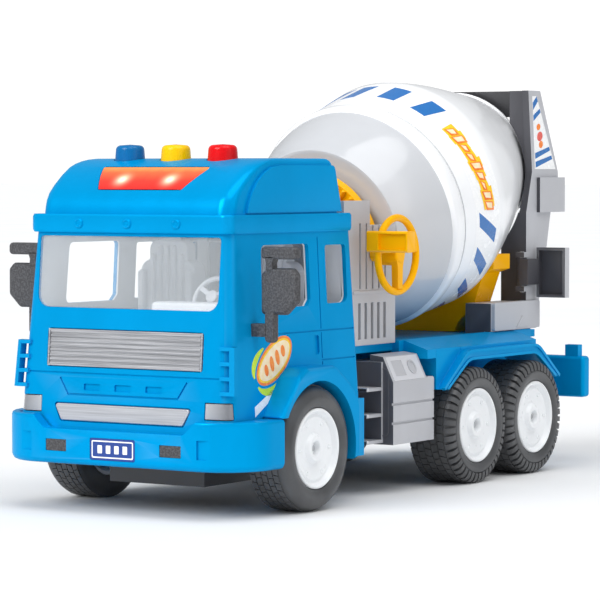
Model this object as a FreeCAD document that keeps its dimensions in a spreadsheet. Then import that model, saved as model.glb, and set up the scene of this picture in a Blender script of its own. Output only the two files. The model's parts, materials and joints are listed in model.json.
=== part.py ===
import FreeCAD, Part
import math
import os
import re
import Sketcher

# Toy cement mixer truck, 355 mm long.  The cab faces -Y, the truck's left is +X, +Z is up.
# The origin is on the ground, under the middle of the whole truck.

Vector = FreeCAD.Vector
Rotation = FreeCAD.Rotation
AXIS_X = Vector(1, 0, 0)
AXIS_Y = Vector(0, 1, 0)
AXIS_Z = Vector(0, 0, 1)

doc = FreeCAD.newDocument("toy_cement_mixer")
sheet = doc.addObject("Spreadsheet::Sheet", "Dims")

# ---------------------------------------------------------------- driving dimensions (mm, degrees)
DIMENSIONS = {
    # whole truck
    "front_end": -177.5, "tail_end": 177.5, "shell_wall": 2, "thin_wall": 1.5,
    "fit_gap": 0.08, "trim_gap": 0.1,
    # wheels
    "wheel_rad": 30, "front_axle_y": -110.5, "middle_axle_y": 43.75, "tandem_gap": 61.5,
    "tyre_face_x": 71.5, "front_tyre_wide": 22, "back_tyre_wide": 26, "rim_rad": 19.2,
    "axle_rad": 1.5, "axle_end_x": 68,
    # chassis: spine, floor pan with its screws, battery door and cells, deck and rails
    "spine_half": 30, "spine_low": 24, "spine_front_top": 60, "deck_low": 70, "deck_top": 74,
    "spine_front_y": -160, "spine_step_y": -60, "spine_back_y": 169.5,
    "deck_half": 46, "deck_front_y": -53, "deck_back_y": 150,
    "rail_top": 75, "rail_outer": 64, "rail_edge": 70.5, "rail_crest": 50,
    "pan_low": 24.2, "pan_top": 26, "door_low": 22.7, "door_half": 18, "door_front_y": -3, "door_back_y": 38,
    "cell_rad": 5.8, "cell_pitch": 12.5, "cell_top": 31.5,
    "screw_x": 22, "screw_rad": 1, "screw_head_rad": 2.4, "screw_head_low": 22.6, "screw_end": 38,
    "boss_rad": 3,
    # fenders
    "fender_face": 68, "fender_front_y": 11.5, "fender_back_y": 137.5, "fender_low": 50,
    "fender_top": 69, "fender_slope": 25, "rail_back_y": 118,
    # cab
    "cab_low": 30, "cab_high": 131.6, "cab_low_half": 62, "cab_high_half": 56.6,
    "cab_low_front": -171.5, "cab_high_front": -163.5, "cab_low_back": -54.5, "cab_high_back": -57.5,
    "arch_rad": 36.8, "guard_back_y": -53, "guard_low": 22,
    "glass_half": 52, "glass_low": 96, "glass_high": 130,
    "door_glass_front": -139.5, "door_glass_back": -97.5, "door_glass_low": 96.5, "door_glass_high": 126,
    "quarter_front": -82.9, "quarter_back": -64.5, "quarter_low": 97, "quarter_high": 125,
    "back_glass_half": 38, "back_glass_low": 98, "back_glass_high": 125,
    "grille_half": 44.5, "grille_low": 68.5, "grille_high": 86,
    "intake_low": 43, "intake_high": 51, "intake_low_half": 35, "intake_high_half": 39.3,
    "lamp_inner_x": 47, "lamp_low": 46.7, "lamp_high": 54.2, "lamp_back_y": -166,
    # inside the cab
    "tub_half": 55, "tub_low": 66, "seat_low": 68.2, "seat_half": 15, "steer_x": 27,
    # mirrors
    "mirror_inner_x": 63.6, "mirror_outer_x": 83.3, "mirror_low": 94.5, "mirror_high": 116,
    "pad_low": 120, "pad_high": 125.8, "stalk_low": 81.5,
    # roof
    "visor_top": 140.2, "visor_half": 57.8, "visor_front": -165, "visor_back": -57,
    "roof_half": 55, "roof_top": 166.5, "roof_crest_y": -135,
    "button_rad": 7.4, "button_y": -125.5, "button_pitch": 27, "button_high": 173.2,
    "lens_low": 151.5, "lens_high": 162.5, "lens_low_half": 24, "lens_high_half": 31.5,
    "marker_rad": 1.9, "marker_pitch": 28, "marker_z": 136,
    "board_low": 155.2, "board_top": 156.6, "pad_top": 157.6, "dome_top": 158.4, "board_lamp_x": 13.7,
    # front bumper
    "bumper_half": 72.3, "bumper_low": 23, "bumper_top": 46, "bumper_dip": 39.5, "bumper_back_y": -141.6,
    "fog_inner_x": 26.9, "fog_outer_x": 38.7, "fog_low": 29.1, "fog_high": 34.5,
    "plate_half": 12.9, "plate_low": 25.9, "plate_high": 36.1,
    # gear stack behind the cab
    "stack_half": 48, "stack_front_y": -51, "stack_wing_y": -26.5, "stack_back_y": -2,
    "stack_top": 145.8, "column_front_y": -42.5, "column_top": 133.5, "louvre_top": 101,
    "slot_front_y": -37.5, "slot_pitch": 6, "slot_wide": 2.4, "slot_deep": 1.5,
    # boxes beside the chassis
    "box_inner_x": 31, "box_outer_x": 64, "box_low": 25, "box_side_top": 56, "box_front_y": -30.5,
    "box_back_y": 9.5, "shelf_front_y": -46, "shelf_in_x": 40, "shelf_out_x": 58,
    # drum: a place on its axis, its tilt, then stations along the axis and radii
    "drum_y": 34.5, "drum_z": 134.1, "drum_tilt": 14.5, "drum_wall": 2,
    "nose_s": -31.5, "nose_rad": 47, "cone_s": 8.9, "cone_rad": 60.1, "groove_s": 16, "groove_rad": 59,
    "band_s": 23.8, "band_rad": 60.3, "belly_s": 50, "belly_rad": 62.8, "mouth_s": 121.4, "mouth_rad": 39.5,
    # hand drive: the wheel's shaft crosses the drum's axis
    "shaft_s": -60.2, "hand_x": 62, "hand_rad": 20.2, "hand_tube": 1.8, "shaft_rad": 2.5,
    "grip_inner": 4.8, "grip_outer": 18.5, "grip_front": 21.3, "grip_back": 13.5,
    "grip_low": 1.7, "grip_high": 12.1, "grip_wall": 1.3,
    "gear_size": 1.5, "pinion_teeth": 24, "crown_teeth": 44, "crown_s": -40.5, "crown_rad": 36.8,
    # rear tower
    "tower_face": 50, "tower_wall": 4, "tower_front_y": 132.5, "tower_top": 204,
    "tower_foot_x": 34.5, "tower_foot_front_y": 93.5, "tower_foot_back_y": 144.5, "tower_foot_top": 90,
    "tower_block_low": 138, "tower_block_high": 157, "tower_block_back_y": 173.5,
    # side chute
    "chute_pin_x": 49.3, "chute_pin_y": 129.4, "chute_pin_rad": 1.2, "chute_low": 92, "chute_high": 119,
    # rear bumper
    "tail_half": 66, "tail_front_y": 169.5, "tail_low": 36, "tail_high": 58.6, "tail_tab_high": 64.8,
    # friction motor
    "motor_half": 27.5, "motor_low": 12, "motor_front_y": -142, "motor_back_y": -80,
    "lay_y": -97.5, "lay_z": 35.2, "fly_y": -90.5, "fly_z": 46.15, "pin_rad": 1,
}
for row, (alias, number) in enumerate(DIMENSIONS.items(), start=1):
    sheet.set("A%d" % row, alias.replace("_", " "))
    sheet.set("B%d" % row, str(number))
    sheet.setAlias("B%d" % row, alias)
doc.recompute()

NODES = []


# ---------------------------------------------------------------- small modelling vocabulary
def linked(formula):
    """A formula that names dimensions, as an expression on the sheet."""
    def cell(match):
        word = match.group(0)
        return "Dims." + word if word in DIMENSIONS else word
    return re.sub(r"[a-z][a-z_]*[a-z]", cell, str(formula))


def value(formula):
    """The number that a formula gives now."""
    return float(sheet.evalExpression(linked(formula)))


def bind(item, **formulas):
    for prop, formula in formulas.items():
        item.setExpression(prop.replace("__", "."), linked(formula))


def place(item, x=0, y=0, z=0, axis=AXIS_Z, angle=0):
    item.Placement = FreeCAD.Placement(Vector(0, 0, 0), Rotation(axis, angle))
    bind(item, Placement__Base__x=x, Placement__Base__y=y, Placement__Base__z=z)
    return item


def block(name, x, y, z):
    """A box from the low to the high value of each pair."""
    box = doc.addObject("Part::Box", name)
    bind(box, Length="(%s) - (%s)" % (x[1], x[0]), Width="(%s) - (%s)" % (y[1], y[0]),
         Height="(%s) - (%s)" % (z[1], z[0]))
    return place(box, x[0], y[0], z[0])


def twin_block(name, x, y, z):
    """The same box on both sides of the truck's middle plane."""
    return fuse(name, [block(name + "_a", x, y, z),
                       block(name + "_b", ("-(%s)" % x[1], "-(%s)" % x[0]), y, z)])


def rod(name, radius, length, x, y, z, axis=AXIS_X, angle=90):
    """A cylinder that starts at x, y, z; AXIS_Y turned 90 degrees points it along +X."""
    cylinder = doc.addObject("Part::Cylinder", name)
    bind(cylinder, Radius=radius, Height=length)
    return place(cylinder, x, y, z, axis, angle)


def rod_x(name, radius, x, y, z):
    return rod(name, radius, "(%s) - (%s)" % (x[1], x[0]), x[0], y, z, AXIS_Y, 90)


def rod_z(name, radius, x, y, z):
    return rod(name, radius, "(%s) - (%s)" % (z[1], z[0]), x, y, z[0], AXIS_Z, 0)


def tapered_block(name, half, front, back, z):
    """A box that narrows upwards: each pair holds the value at the bottom and at the top."""
    wedge = doc.addObject("Part::Wedge", name)
    bind(wedge, Xmin="-(%s)" % half[0], Xmax=half[0], X2min="-(%s)" % half[1], X2max=half[1],
         Zmin="-(%s)" % back[0], Zmax="-(%s)" % front[0], Z2min="-(%s)" % back[1],
         Z2max="-(%s)" % front[1], Ymin=0, Ymax="(%s) - (%s)" % (z[1], z[0]))
    return place(wedge, 0, 0, z[0], AXIS_X, 90)


def cut(name, base, tools):
    result = doc.addObject("Part::Cut", name)
    result.Base = base
    result.Tool = tools[0] if len(tools) == 1 else fuse(name + "_tools", tools)
    return result


def fuse(name, pieces):
    result = doc.addObject("Part::MultiFuse", name)
    result.Shapes = pieces
    return result


def common(name, first, second):
    result = doc.addObject("Part::Common", name)
    result.Base = first
    result.Tool = second
    return result


def mirrored(name, source):
    twin = doc.addObject("Part::Mirroring", name)
    twin.Source = source
    twin.Normal = AXIS_X
    return twin


def rounded(name, base, radius, wanted):
    """Fillet the edges for which wanted(edge) is true."""
    doc.recompute()
    result = doc.addObject("Part::Fillet", name)
    result.Base = base
    size = value(radius)
    edges = enumerate(base.Shape.Edges, start=1)
    result.Edges = [(index, size, size) for index, edge in edges if wanted(edge)]
    return result


def upright(edge):
    """True for a straight edge that stands mostly along Z."""
    if not isinstance(edge.Curve, Part.Line):
        return False
    return abs(edge.tangentAt(edge.FirstParameter).z) > 0.9


def new_body(name):
    return doc.addObject("PartDesign::Body", name)


def outline(body, name, plane, points, offset="0"):
    """A closed outline of straight runs, each corner tied to the sheet."""
    sketch = body.newObject("Sketcher::SketchObject", name)
    support = [feature for feature in body.Origin.OriginFeatures if feature.Role == plane][0]
    sketch.AttachmentSupport = [(support, "")]
    sketch.MapMode = "FlatFace"
    bind(sketch, AttachmentOffset__Base__z=offset)
    corners = [Vector(value(across), value(along), 0) for across, along in points]
    count = len(corners)
    for index in range(count):
        sketch.addGeometry(Part.LineSegment(corners[index], corners[(index + 1) % count]), False)
    for index in range(count):
        sketch.addConstraint(Sketcher.Constraint("Coincident", index, 2, (index + 1) % count, 1))
    for index, (across, along) in enumerate(points):
        for kind, formula, now in (("DistanceX", across, corners[index].x),
                                   ("DistanceY", along, corners[index].y)):
            number = sketch.addConstraint(Sketcher.Constraint(kind, -1, 1, index, 1, now))
            sketch.setExpression("Constraints[%d]" % number, linked(formula))
    return sketch


def extruded(name, plane, points, low, high):
    """An outline drawn on a plane and pushed along its normal from low to high."""
    body = new_body(name)
    sketch = outline(body, name + "_outline", plane, points, low)
    pad = body.newObject("PartDesign::Pad", name + "_pad")
    pad.Profile = sketch
    bind(pad, Length="(%s) - (%s)" % (high, low))
    return body


def side_profile(name, points, x):
    """An outline in Y and Z, pushed from the low to the high X."""
    return extruded(name, "YZ_Plane", points, x[0], x[1])


def front_profile(name, points, y):
    """An outline in X and Z, pushed from the low to the high Y (the plane's normal is -Y)."""
    return extruded(name, "XZ_Plane", points, "-(%s)" % y[1], "-(%s)" % y[0])


def turned(name, points, x=0, y=0, z=0, along="X", tilt=0):
    """An outline of (along the axis, radius) turned through a full circle about the axis."""
    body = new_body(name)
    plane = "XZ_Plane" if along == "X" else "YZ_Plane"
    sketch = outline(body, name + "_outline", plane, points)
    turn = body.newObject("PartDesign::Revolution", name + "_turn")
    turn.Profile = sketch
    turn.ReferenceAxis = (sketch, ["H_Axis"])
    turn.Angle = 360
    place(body, x, y, z, AXIS_X, tilt)
    return body


def node(name, item):
    """Name the finished piece; the name is also its file's name."""
    item.Label = name
    NODES.append(item)
    return item


# ---------------------------------------------------------------- wheels and axles
def wheel_set(place_name, axle_y, tyre_wide):
    """A steel axle with two rims pressed on its ends, and a tyre round each rim."""
    inner = "tyre_face_x - %s" % tyre_wide
    axle = rod_x(place_name + "_axle_rod", "axle_rad", ("-axle_end_x", "axle_end_x"), axle_y, "wheel_rad")
    rims = []
    tyres = []
    for side, sign in (("left", ""), ("right", "-")):
        lip, face = "%s(tyre_face_x - 1)" % sign, "%s(tyre_face_x - 5)" % sign
        back, hub = "%s(%s + 2)" % (sign, inner), "%s(%s)" % (sign, inner)
        rim_points = [(hub, "axle_rad"), (hub, "6"), ("%s(tyre_face_x - 8)" % sign, "6"),
                      ("%s(tyre_face_x - 8)" % sign, "rim_rad - 2"), (back, "rim_rad - 2"), (back, "rim_rad"),
                      (lip, "rim_rad"), (lip, "rim_rad - 2"), (face, "rim_rad - 3"), (face, "9"),
                      (lip, "7"), (lip, "axle_rad")]
        side_wall = "%s(tyre_face_x)" % sign
        tyre_points = [(hub, "rim_rad"), (hub, "wheel_rad - 2"),
                       ("%s(%s + 1.5)" % (sign, inner), "wheel_rad"),
                       ("%s(tyre_face_x - 3)" % sign, "wheel_rad"), (side_wall, "wheel_rad - 3"),
                       (side_wall, "rim_rad + 2"), (lip, "rim_rad")]
        rims.append(turned("%s_rim_%s" % (place_name, side), rim_points, 0, axle_y, "wheel_rad"))
        tyres.append(turned("%s_tyre_%s" % (place_name, side), tyre_points, 0, axle_y, "wheel_rad"))
    node(place_name + "_axle", axle)
    node(place_name + "_rims", fuse(place_name + "_rim_pair", rims))
    node(place_name + "_tyres", fuse(place_name + "_tyre_pair", tyres))


BACK_AXLE_Y = "middle_axle_y + tandem_gap"
wheel_set("front", "front_axle_y", "front_tyre_wide")
wheel_set("middle", "middle_axle_y", "back_tyre_wide")
wheel_set("rear", BACK_AXLE_Y, "back_tyre_wide")


# ---------------------------------------------------------------- chassis
def axle_bore(name, axle_y):
    return rod_x(name, "axle_rad + fit_gap", ("-spine_half - 10", "spine_half + 10"), axle_y, "wheel_rad")


def screw_places():
    """Places of the underside screws: two rows along the spine."""
    stations = (-60, -5, 75, 160)
    return [(side + "screw_x", along) for along in stations for side in ("-", "")]


def chassis_deck():
    hollow = [
        block("spine_hollow_back", ("-spine_half + shell_wall", "spine_half - shell_wall"),
              ("spine_step_y + shell_wall", "spine_back_y - shell_wall"), ("spine_low - 1", "deck_low")),
        block("spine_hollow_front", ("-spine_half + shell_wall", "spine_half - shell_wall"),
              ("spine_front_y + shell_wall", "spine_step_y + shell_wall + 1"),
              ("spine_low - 1", "spine_front_top - shell_wall")),
    ]
    solid = [
        block("spine_front", ("-spine_half", "spine_half"), ("spine_front_y", "spine_step_y + 1"),
              ("spine_low", "spine_front_top")),
        block("spine_back", ("-spine_half", "spine_half"), ("spine_step_y", "spine_back_y"),
              ("spine_low", "deck_low + 1")),
        block("deck_plate", ("-deck_half", "deck_half"), ("deck_front_y", "deck_back_y"),
              ("deck_low", "deck_top")),
    ]
    rail = [("deck_half - 1", "deck_low - 4"), ("rail_outer", "deck_low - 4"), ("rail_outer", "rail_edge"),
            ("rail_crest", "rail_top"), ("deck_half - 1", "rail_top")]
    left = front_profile("rail_left", rail, ("fender_front_y - 8.5", "fender_front_y"))
    right = mirrored("rail_right", left)
    narrow = twin_block("rail_narrow", ("deck_half - 1", "rail_crest"),
                        ("stack_back_y + 0.5", "fender_front_y"), ("deck_low - 4", "rail_top"))
    shell = cut("deck_shell", fuse("deck_solid", solid + [left, right, narrow]), hollow)
    bosses = []
    for index, (x, y) in enumerate(screw_places()):
        top = "spine_front_top - 1" if y <= value("spine_step_y") else "deck_low + 1"
        post = rod_z("boss_out_%d" % index, "boss_rad", x, y, ("pan_top + 2", top))
        pilot = rod_z("boss_in_%d" % index, "screw_rad + 0.1", x, y, ("pan_top + 1", "screw_end + 2"))
        bosses.append(cut("boss_%d" % index, post, [pilot]))
    whole = fuse("deck_with_bosses", [shell] + bosses)
    bores = [axle_bore("front_bore", "front_axle_y"), axle_bore("middle_bore", "middle_axle_y"),
             axle_bore("rear_bore", BACK_AXLE_Y)]
    return cut("deck_bored", whole, bores)


def floor_pan():
    plate = block("pan_plate", ("-spine_half + shell_wall + trim_gap", "spine_half - shell_wall - trim_gap"),
                  ("motor_back_y + 1", "spine_back_y - shell_wall - trim_gap"), ("pan_low", "pan_top"))
    holes = [rod_z("pan_hole_%d" % index, "screw_rad + 0.2", x, y, ("pan_low - 1", "pan_top + 1"))
             for index, (x, y) in enumerate(screw_places())]
    return cut("pan", plate, holes)


def battery_door():
    """A flat cover on the floor pan, with a notch for a fingernail."""
    plate = block("door_plate", ("-door_half", "door_half"), ("door_front_y", "door_back_y"),
                  ("door_low", "pan_low - trim_gap"))
    grip = block("door_grip", ("-6", "6"), ("door_front_y + 3", "door_front_y + 4.5"),
                 ("door_low - 0.2", "door_low + 0.7"))
    return cut("door_cut", plate, [grip])


def battery_cells():
    """Three button cells in a row on the floor pan."""
    return fuse("cells", [rod_z("cell_%d" % index, "cell_rad", "0", "5 + %d * cell_pitch" % index,
                                ("pan_top + trim_gap", "cell_top")) for index in range(3)])


def assembly_screws():
    screws = []
    for index, (x, y) in enumerate(screw_places()):
        head = rod_z("screw_head_%d" % index, "screw_head_rad", x, y,
                     ("screw_head_low", "pan_low - trim_gap"))
        shank = rod_z("screw_shank_%d" % index, "screw_rad", x, y, ("pan_low - 0.2", "screw_end"))
        screws.append(fuse("screw_%d" % index, [head, shank]))
    return fuse("screws", screws)


def fender_left():
    rail = front_profile("fender_rail", [
        ("deck_half + trim_gap", "rail_edge - 4.5"), ("rail_outer", "rail_edge - 4.5"),
        ("fender_face", "fender_top - 3"), ("fender_face", "fender_top"), ("rail_outer", "rail_edge"),
        ("rail_crest", "rail_top"), ("deck_half + trim_gap", "rail_top")],
        ("fender_front_y + trim_gap", "fender_back_y"))
    arch = side_profile("fender_arch", [
        ("fender_front_y + trim_gap", "fender_low"), ("fender_front_y + trim_gap", "fender_top - 2"),
        ("fender_back_y", "fender_top - 2"), ("fender_back_y", "fender_low"),
        ("fender_back_y - 4.5", "fender_low"), ("fender_back_y - 27", "fender_top - 5.5"),
        ("fender_front_y + 27", "fender_top - 5.5"), ("fender_front_y + 4.5", "fender_low")],
        ("deck_half + trim_gap", "fender_face"))
    corner_front = side_profile("fender_corner_front", [
        ("fender_front_y - 1", "fender_low"), ("fender_front_y", "fender_low"),
        ("fender_front_y + fender_slope", "fender_top"), ("fender_front_y + fender_slope", "fender_top + 20"),
        ("fender_front_y - 1", "fender_top + 20")], ("rail_outer", "fender_face + 1"))
    corner_back = side_profile("fender_corner_back", [
        ("fender_back_y + 1", "fender_low"), ("fender_back_y + 1", "fender_top + 20"),
        ("fender_back_y - fender_slope", "fender_top + 20"), ("fender_back_y - fender_slope", "fender_top"),
        ("fender_back_y", "fender_low")], ("rail_outer", "fender_face + 1"))
    rail_end = side_profile("fender_rail_end", [
        ("fender_back_y + 1", "fender_low"), ("fender_back_y + 1", "fender_top + 20"),
        ("rail_back_y", "fender_top + 20"), ("rail_back_y", "fender_top - 4.2"),
        ("fender_back_y", "fender_low")], ("rail_crest + 0.2", "rail_outer + 0.1"))
    return cut("fender", fuse("fender_whole", [rail, arch]), [corner_front, corner_back, rail_end])


def rear_bumper():
    bar = block("tail_bar", ("-tail_half", "tail_half"), ("tail_front_y", "tail_end"),
                ("tail_low", "tail_high"))
    bar = rounded("tail_bar_round", bar, "2", lambda edge: True)
    tabs = twin_block("tail_tab", ("tail_half - 12", "tail_half - 4"), ("tail_front_y + 1", "tail_end - 2"),
                      ("tail_high - 2", "tail_tab_high"))
    return fuse("tail", [bar, tabs])


node("chassis_deck", chassis_deck())
node("floor_pan", floor_pan())
node("battery_door", battery_door())
node("battery_cells", battery_cells())
node("assembly_screws", assembly_screws())
LEFT_FENDER = node("fender_left", fender_left())
node("fender_right", mirrored("fender_mirror", LEFT_FENDER))
node("rear_bumper", rear_bumper())


# ---------------------------------------------------------------- friction motor
def gear_shape(teeth, size, low, high, turn=0.0, bore=0.0):
    """A spur gear along X with straight-sided teeth; turn is in degrees."""
    pitch = teeth * size / 2
    root, tip = pitch - 1.1 * size, pitch + 0.85 * size
    step = 2 * math.pi / teeth
    corners = []
    for tooth in range(teeth):
        middle = tooth * step + math.radians(turn)
        for radius, share in ((root, -0.33), (tip, -0.11), (tip, 0.11), (root, 0.33)):
            angle = middle + share * step
            corners.append(Vector(low, radius * math.cos(angle), radius * math.sin(angle)))
    wire = Part.makePolygon(corners + [corners[0]])
    solid = Part.Face(wire).extrude(Vector(high - low, 0, 0))
    if bore:
        solid = solid.cut(Part.makeCylinder(bore, high - low, Vector(low, 0, 0), AXIS_X))
    return solid


def mesh_turn(teeth, towards):
    """Turn that puts a gap, not a tooth, of a gear on the line of centres at angle towards."""
    return towards + 180.0 / teeth


def shape_node(name, shape, x=0, y=0, z=0):
    piece = doc.addObject("Part::Feature", name + "_shape")
    piece.Shape = shape
    place(piece, x, y, z)
    return node(name, piece)


def motor_gears():
    axle_teeth, small_teeth, lay_teeth = 20, 8, 18
    to_lay = math.degrees(math.atan2(value("lay_z - wheel_rad"), value("lay_y - front_axle_y")))
    to_fly = math.degrees(math.atan2(value("fly_z - lay_z"), value("fly_y - lay_y")))
    pin = value("pin_rad")
    axle_gear = gear_shape(axle_teeth, 1, 2, 6, to_lay, value("axle_rad"))
    shape_node("axle_gear", axle_gear, 0, "front_axle_y", "wheel_rad")
    lay_small = gear_shape(small_teeth, 1, 1.5, 7, mesh_turn(small_teeth, to_lay + 180))
    lay_large = gear_shape(lay_teeth, 1, 7, 10, to_fly)
    lay_pin = Part.makeCylinder(pin, 31, Vector(-15.5, 0, 0), AXIS_X)
    shape_node("motor_layshaft", lay_small.fuse([lay_large, lay_pin]).removeSplitter(), 0, "lay_y", "lay_z")
    fly_small = gear_shape(small_teeth, 1, 6.5, 10.5, mesh_turn(small_teeth, to_fly + 180))
    disc = Part.makeCylinder(9, 8, Vector(-9, 0, 0), AXIS_X)
    fly_pin = Part.makeCylinder(pin, 31, Vector(-15.5, 0, 0), AXIS_X)
    shape_node("motor_flywheel", fly_small.fuse([disc, fly_pin]).removeSplitter(), 0, "fly_y", "fly_z")


def motor_housing():
    tray = cut("motor_tray",
               block("motor_out", ("-motor_half", "motor_half"), ("motor_front_y", "motor_back_y"),
                     ("motor_low", "26")),
               [block("motor_in", ("-motor_half + thin_wall", "motor_half - thin_wall"),
                      ("motor_front_y + thin_wall", "motor_back_y - thin_wall"),
                      ("motor_low + thin_wall", "27"))])
    cheeks = twin_block("motor_cheek", ("13.5", "15.5"), ("-120", "-82"), ("13", "56"))
    whole = fuse("motor_whole", [tray, cheeks])
    bores = [rod_x("motor_bore_axle", "axle_rad + fit_gap", ("-20", "20"), "front_axle_y", "wheel_rad"),
             rod_x("motor_bore_lay", "pin_rad + fit_gap", ("-20", "20"), "lay_y", "lay_z"),
             rod_x("motor_bore_fly", "pin_rad + fit_gap", ("-20", "20"), "fly_y", "fly_z")]
    return cut("motor_case", whole, bores)


motor_gears()
node("motor_housing", motor_housing())


# ---------------------------------------------------------------- cab
def cab_block(name, grow="0"):
    """The cab's outer form, grown (or shrunk) sideways; always the same taper."""
    return tapered_block(name,
                         ("cab_low_half + (%s)" % grow, "cab_high_half + (%s)" % grow),
                         ("cab_low_front - (%s)" % grow, "cab_high_front - (%s)" % grow),
                         ("cab_low_back + (%s)" % grow, "cab_high_back + (%s)" % grow),
                         ("cab_low", "cab_high"))


def headlight_space(name, gap="0"):
    return twin_block(name, ("lamp_inner_x - (%s)" % gap, "bumper_half"),
                      ("front_end", "lamp_back_y + (%s)" % gap),
                      ("lamp_low - (%s)" % gap, "lamp_high + (%s)" % gap))


def glass_space(name, gap="0"):
    return block(name, ("-glass_half - (%s)" % gap, "glass_half + (%s)" % gap), ("front_end", "-158"),
                 ("glass_low - (%s)" % gap, "glass_high + (%s)" % gap))


GRILLE = [("-grille_half", "grille_low"), ("grille_half", "grille_low"), ("grille_half", "grille_high"),
          ("-grille_half", "grille_high")]
INTAKE = [("-intake_low_half", "intake_low"), ("intake_low_half", "intake_low"),
          ("intake_high_half", "intake_high"), ("-intake_high_half", "intake_high")]


def wheel_arch(name):
    """An eight-sided space round both front wheels, with a flat side on top."""
    arch = doc.addObject("Part::Prism", name)
    arch.Polygon = 8
    bind(arch, Circumradius="arch_rad", Height="2 * tyre_face_x")
    place(arch, "-tyre_face_x", "front_axle_y", "wheel_rad", AXIS_Y, 90)
    arch.Placement.Rotation = Rotation(AXIS_Y, 90) * Rotation(AXIS_Z, 22.5)
    return arch


def cab_shell():
    outer = rounded("cab_outer", cab_block("cab_form"), "6", upright)
    guards = twin_block("cab_guard", ("cab_low_half - 16", "cab_low_half"), ("-80", "guard_back_y"),
                        ("guard_low", "50"))
    solid = fuse("cab_solid", [outer, guards])
    inner = cab_block("cab_inner", "-shell_wall")
    below = block("cab_open_below", ("-cab_low_half + shell_wall", "cab_low_half - shell_wall"),
                  ("cab_low_front + shell_wall", "cab_low_back - shell_wall"),
                  ("guard_low - 1", "cab_low + 1"))
    arch = wheel_arch("cab_arch")
    arch_below = block("arch_below", ("-tyre_face_x", "tyre_face_x"),
                       ("front_axle_y - 34", "front_axle_y + 34"), ("0", "wheel_rad"))
    openings = [
        glass_space("glass_opening"),
        block("door_window", ("-tyre_face_x", "tyre_face_x"), ("door_glass_front", "door_glass_back"),
              ("door_glass_low", "door_glass_high")),
        block("quarter_window", ("-tyre_face_x", "tyre_face_x"), ("quarter_front", "quarter_back"),
              ("quarter_low", "quarter_high")),
        block("back_window", ("-back_glass_half", "back_glass_half"),
              ("cab_low_back - 10", "cab_low_back + 4"), ("back_glass_low", "back_glass_high")),
        headlight_space("headlight_opening"),
        front_profile("grille_recess", GRILLE, ("-172", "-167")),
        front_profile("intake_recess", INTAKE, ("-174", "-169.4")),
        block("spine_tunnel", ("-spine_half - 0.5", "spine_half + 0.5"), ("spine_front_y - 1", "-45"),
              ("0", "deck_top")),
        block("deck_tunnel", ("-deck_half - 4.5", "deck_half + 4.5"), ("deck_front_y - 0.5", "-45"),
              ("deck_low - 4.5", "deck_top + 1")),
    ]
    return cut("cab_cut", solid, [inner, below, arch, arch_below] + openings)


def cab_wall(name):
    return cut(name, cab_block(name + "_form"), [cab_block(name + "_inner", "-shell_wall")])


def windshield():
    return common("glass", cab_wall("glass_wall"), glass_space("glass_fit", "-trim_gap"))


def headlights():
    return common("lamps", cab_wall("lamp_wall"), headlight_space("lamp_fit", "-trim_gap"))


def cab_interior():
    """The white tub: floor, toe board, dashboard and two pillars against the back wall."""
    wide = ("-tub_half", "tub_half")
    tub = block("tub_floor", wide, ("-155", "-62"), ("tub_low", "tub_low + shell_wall"))
    back = twin_block("tub_back", ("40", "54.4"), ("-64", "-62"), ("tub_low", "128"))
    dash = side_profile("dash", [("-162", "68"), ("-148", "68"), ("-144", "88"), ("-150", "95"),
                                 ("-162", "95")], wide)
    toe = block("tub_toe", wide, ("-162", "-154"), ("tub_low", "tub_low + 3"))
    return fuse("interior", [tub, back, dash, toe])


def seat(name, x):
    """A seat with a cushion, a broad back and a headrest; x is its middle."""
    wide = ("%s - seat_half" % x, "%s + seat_half" % x)
    cushion = block(name + "_cushion", wide, ("-118", "-88"), ("seat_low", "84"))
    back = block(name + "_back", wide, ("-92", "-82"), ("seat_low", "114"))
    rest = block(name + "_rest", ("%s - 8.5" % x, "%s + 8.5" % x), ("-91", "-83"), ("113", "126"))
    return fuse(name, [cushion, back, rest])


def cab_steering_wheel():
    ring = doc.addObject("Part::Torus", "cab_ring")
    bind(ring, Radius1="10", Radius2="1.2")
    place(ring, "steer_x", "-134", "101", AXIS_X, 62)
    hub = rod("cab_wheel_hub", "2.6", "15", "steer_x", "-133.6", "101.2", AXIS_X, 152)
    bar = block("cab_wheel_bar", ("-10", "10"), ("-1.3", "1.3"), ("-0.8", "0.8"))
    bar.Placement.Rotation = Rotation(AXIS_X, 62)
    bar.setExpression("Placement.Base.x", linked("steer_x - 10"))
    bar.setExpression("Placement.Base.y", "-134.6")
    bar.setExpression("Placement.Base.z", "99.5")
    return fuse("cab_wheel", [ring, hub, bar])


def front_bumper():
    outer = block("bumper_out", ("-bumper_half", "bumper_half"), ("front_end", "bumper_back_y"),
                  ("bumper_low", "bumper_top"))
    outer = rounded("bumper_round", outer, "26", lambda edge: upright(edge) and edge.CenterOfMass.y < -170)
    inner = block("bumper_in", ("-cab_low_half - 0.3", "cab_low_half + 0.3"), ("cab_low_front - 0.2", "-140"),
                  ("bumper_low - 1", "bumper_top + 1"))
    inner = rounded("bumper_in_round", inner, "6", lambda edge: upright(edge) and edge.CenterOfMass.y < -170)
    dip = front_profile("bumper_dip_cut", [("-40", "bumper_dip"), ("40", "bumper_dip"), ("47", "bumper_top"),
                                           ("47", "bumper_top + 2"), ("-47", "bumper_top + 2"),
                                           ("-47", "bumper_top")], ("front_end - 2", "-160"))
    fogs = twin_block("fog_recess", ("fog_inner_x - trim_gap", "fog_outer_x + trim_gap"),
                      ("front_end - 1", "front_end + 2"), ("fog_low - trim_gap", "fog_high + trim_gap"))
    plate = block("plate_recess", ("-plate_half - trim_gap", "plate_half + trim_gap"),
                  ("front_end - 1", "front_end + 1"), ("plate_low - trim_gap", "plate_high + trim_gap"))
    return cut("bumper", outer, [inner, dip, fogs, plate])


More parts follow.
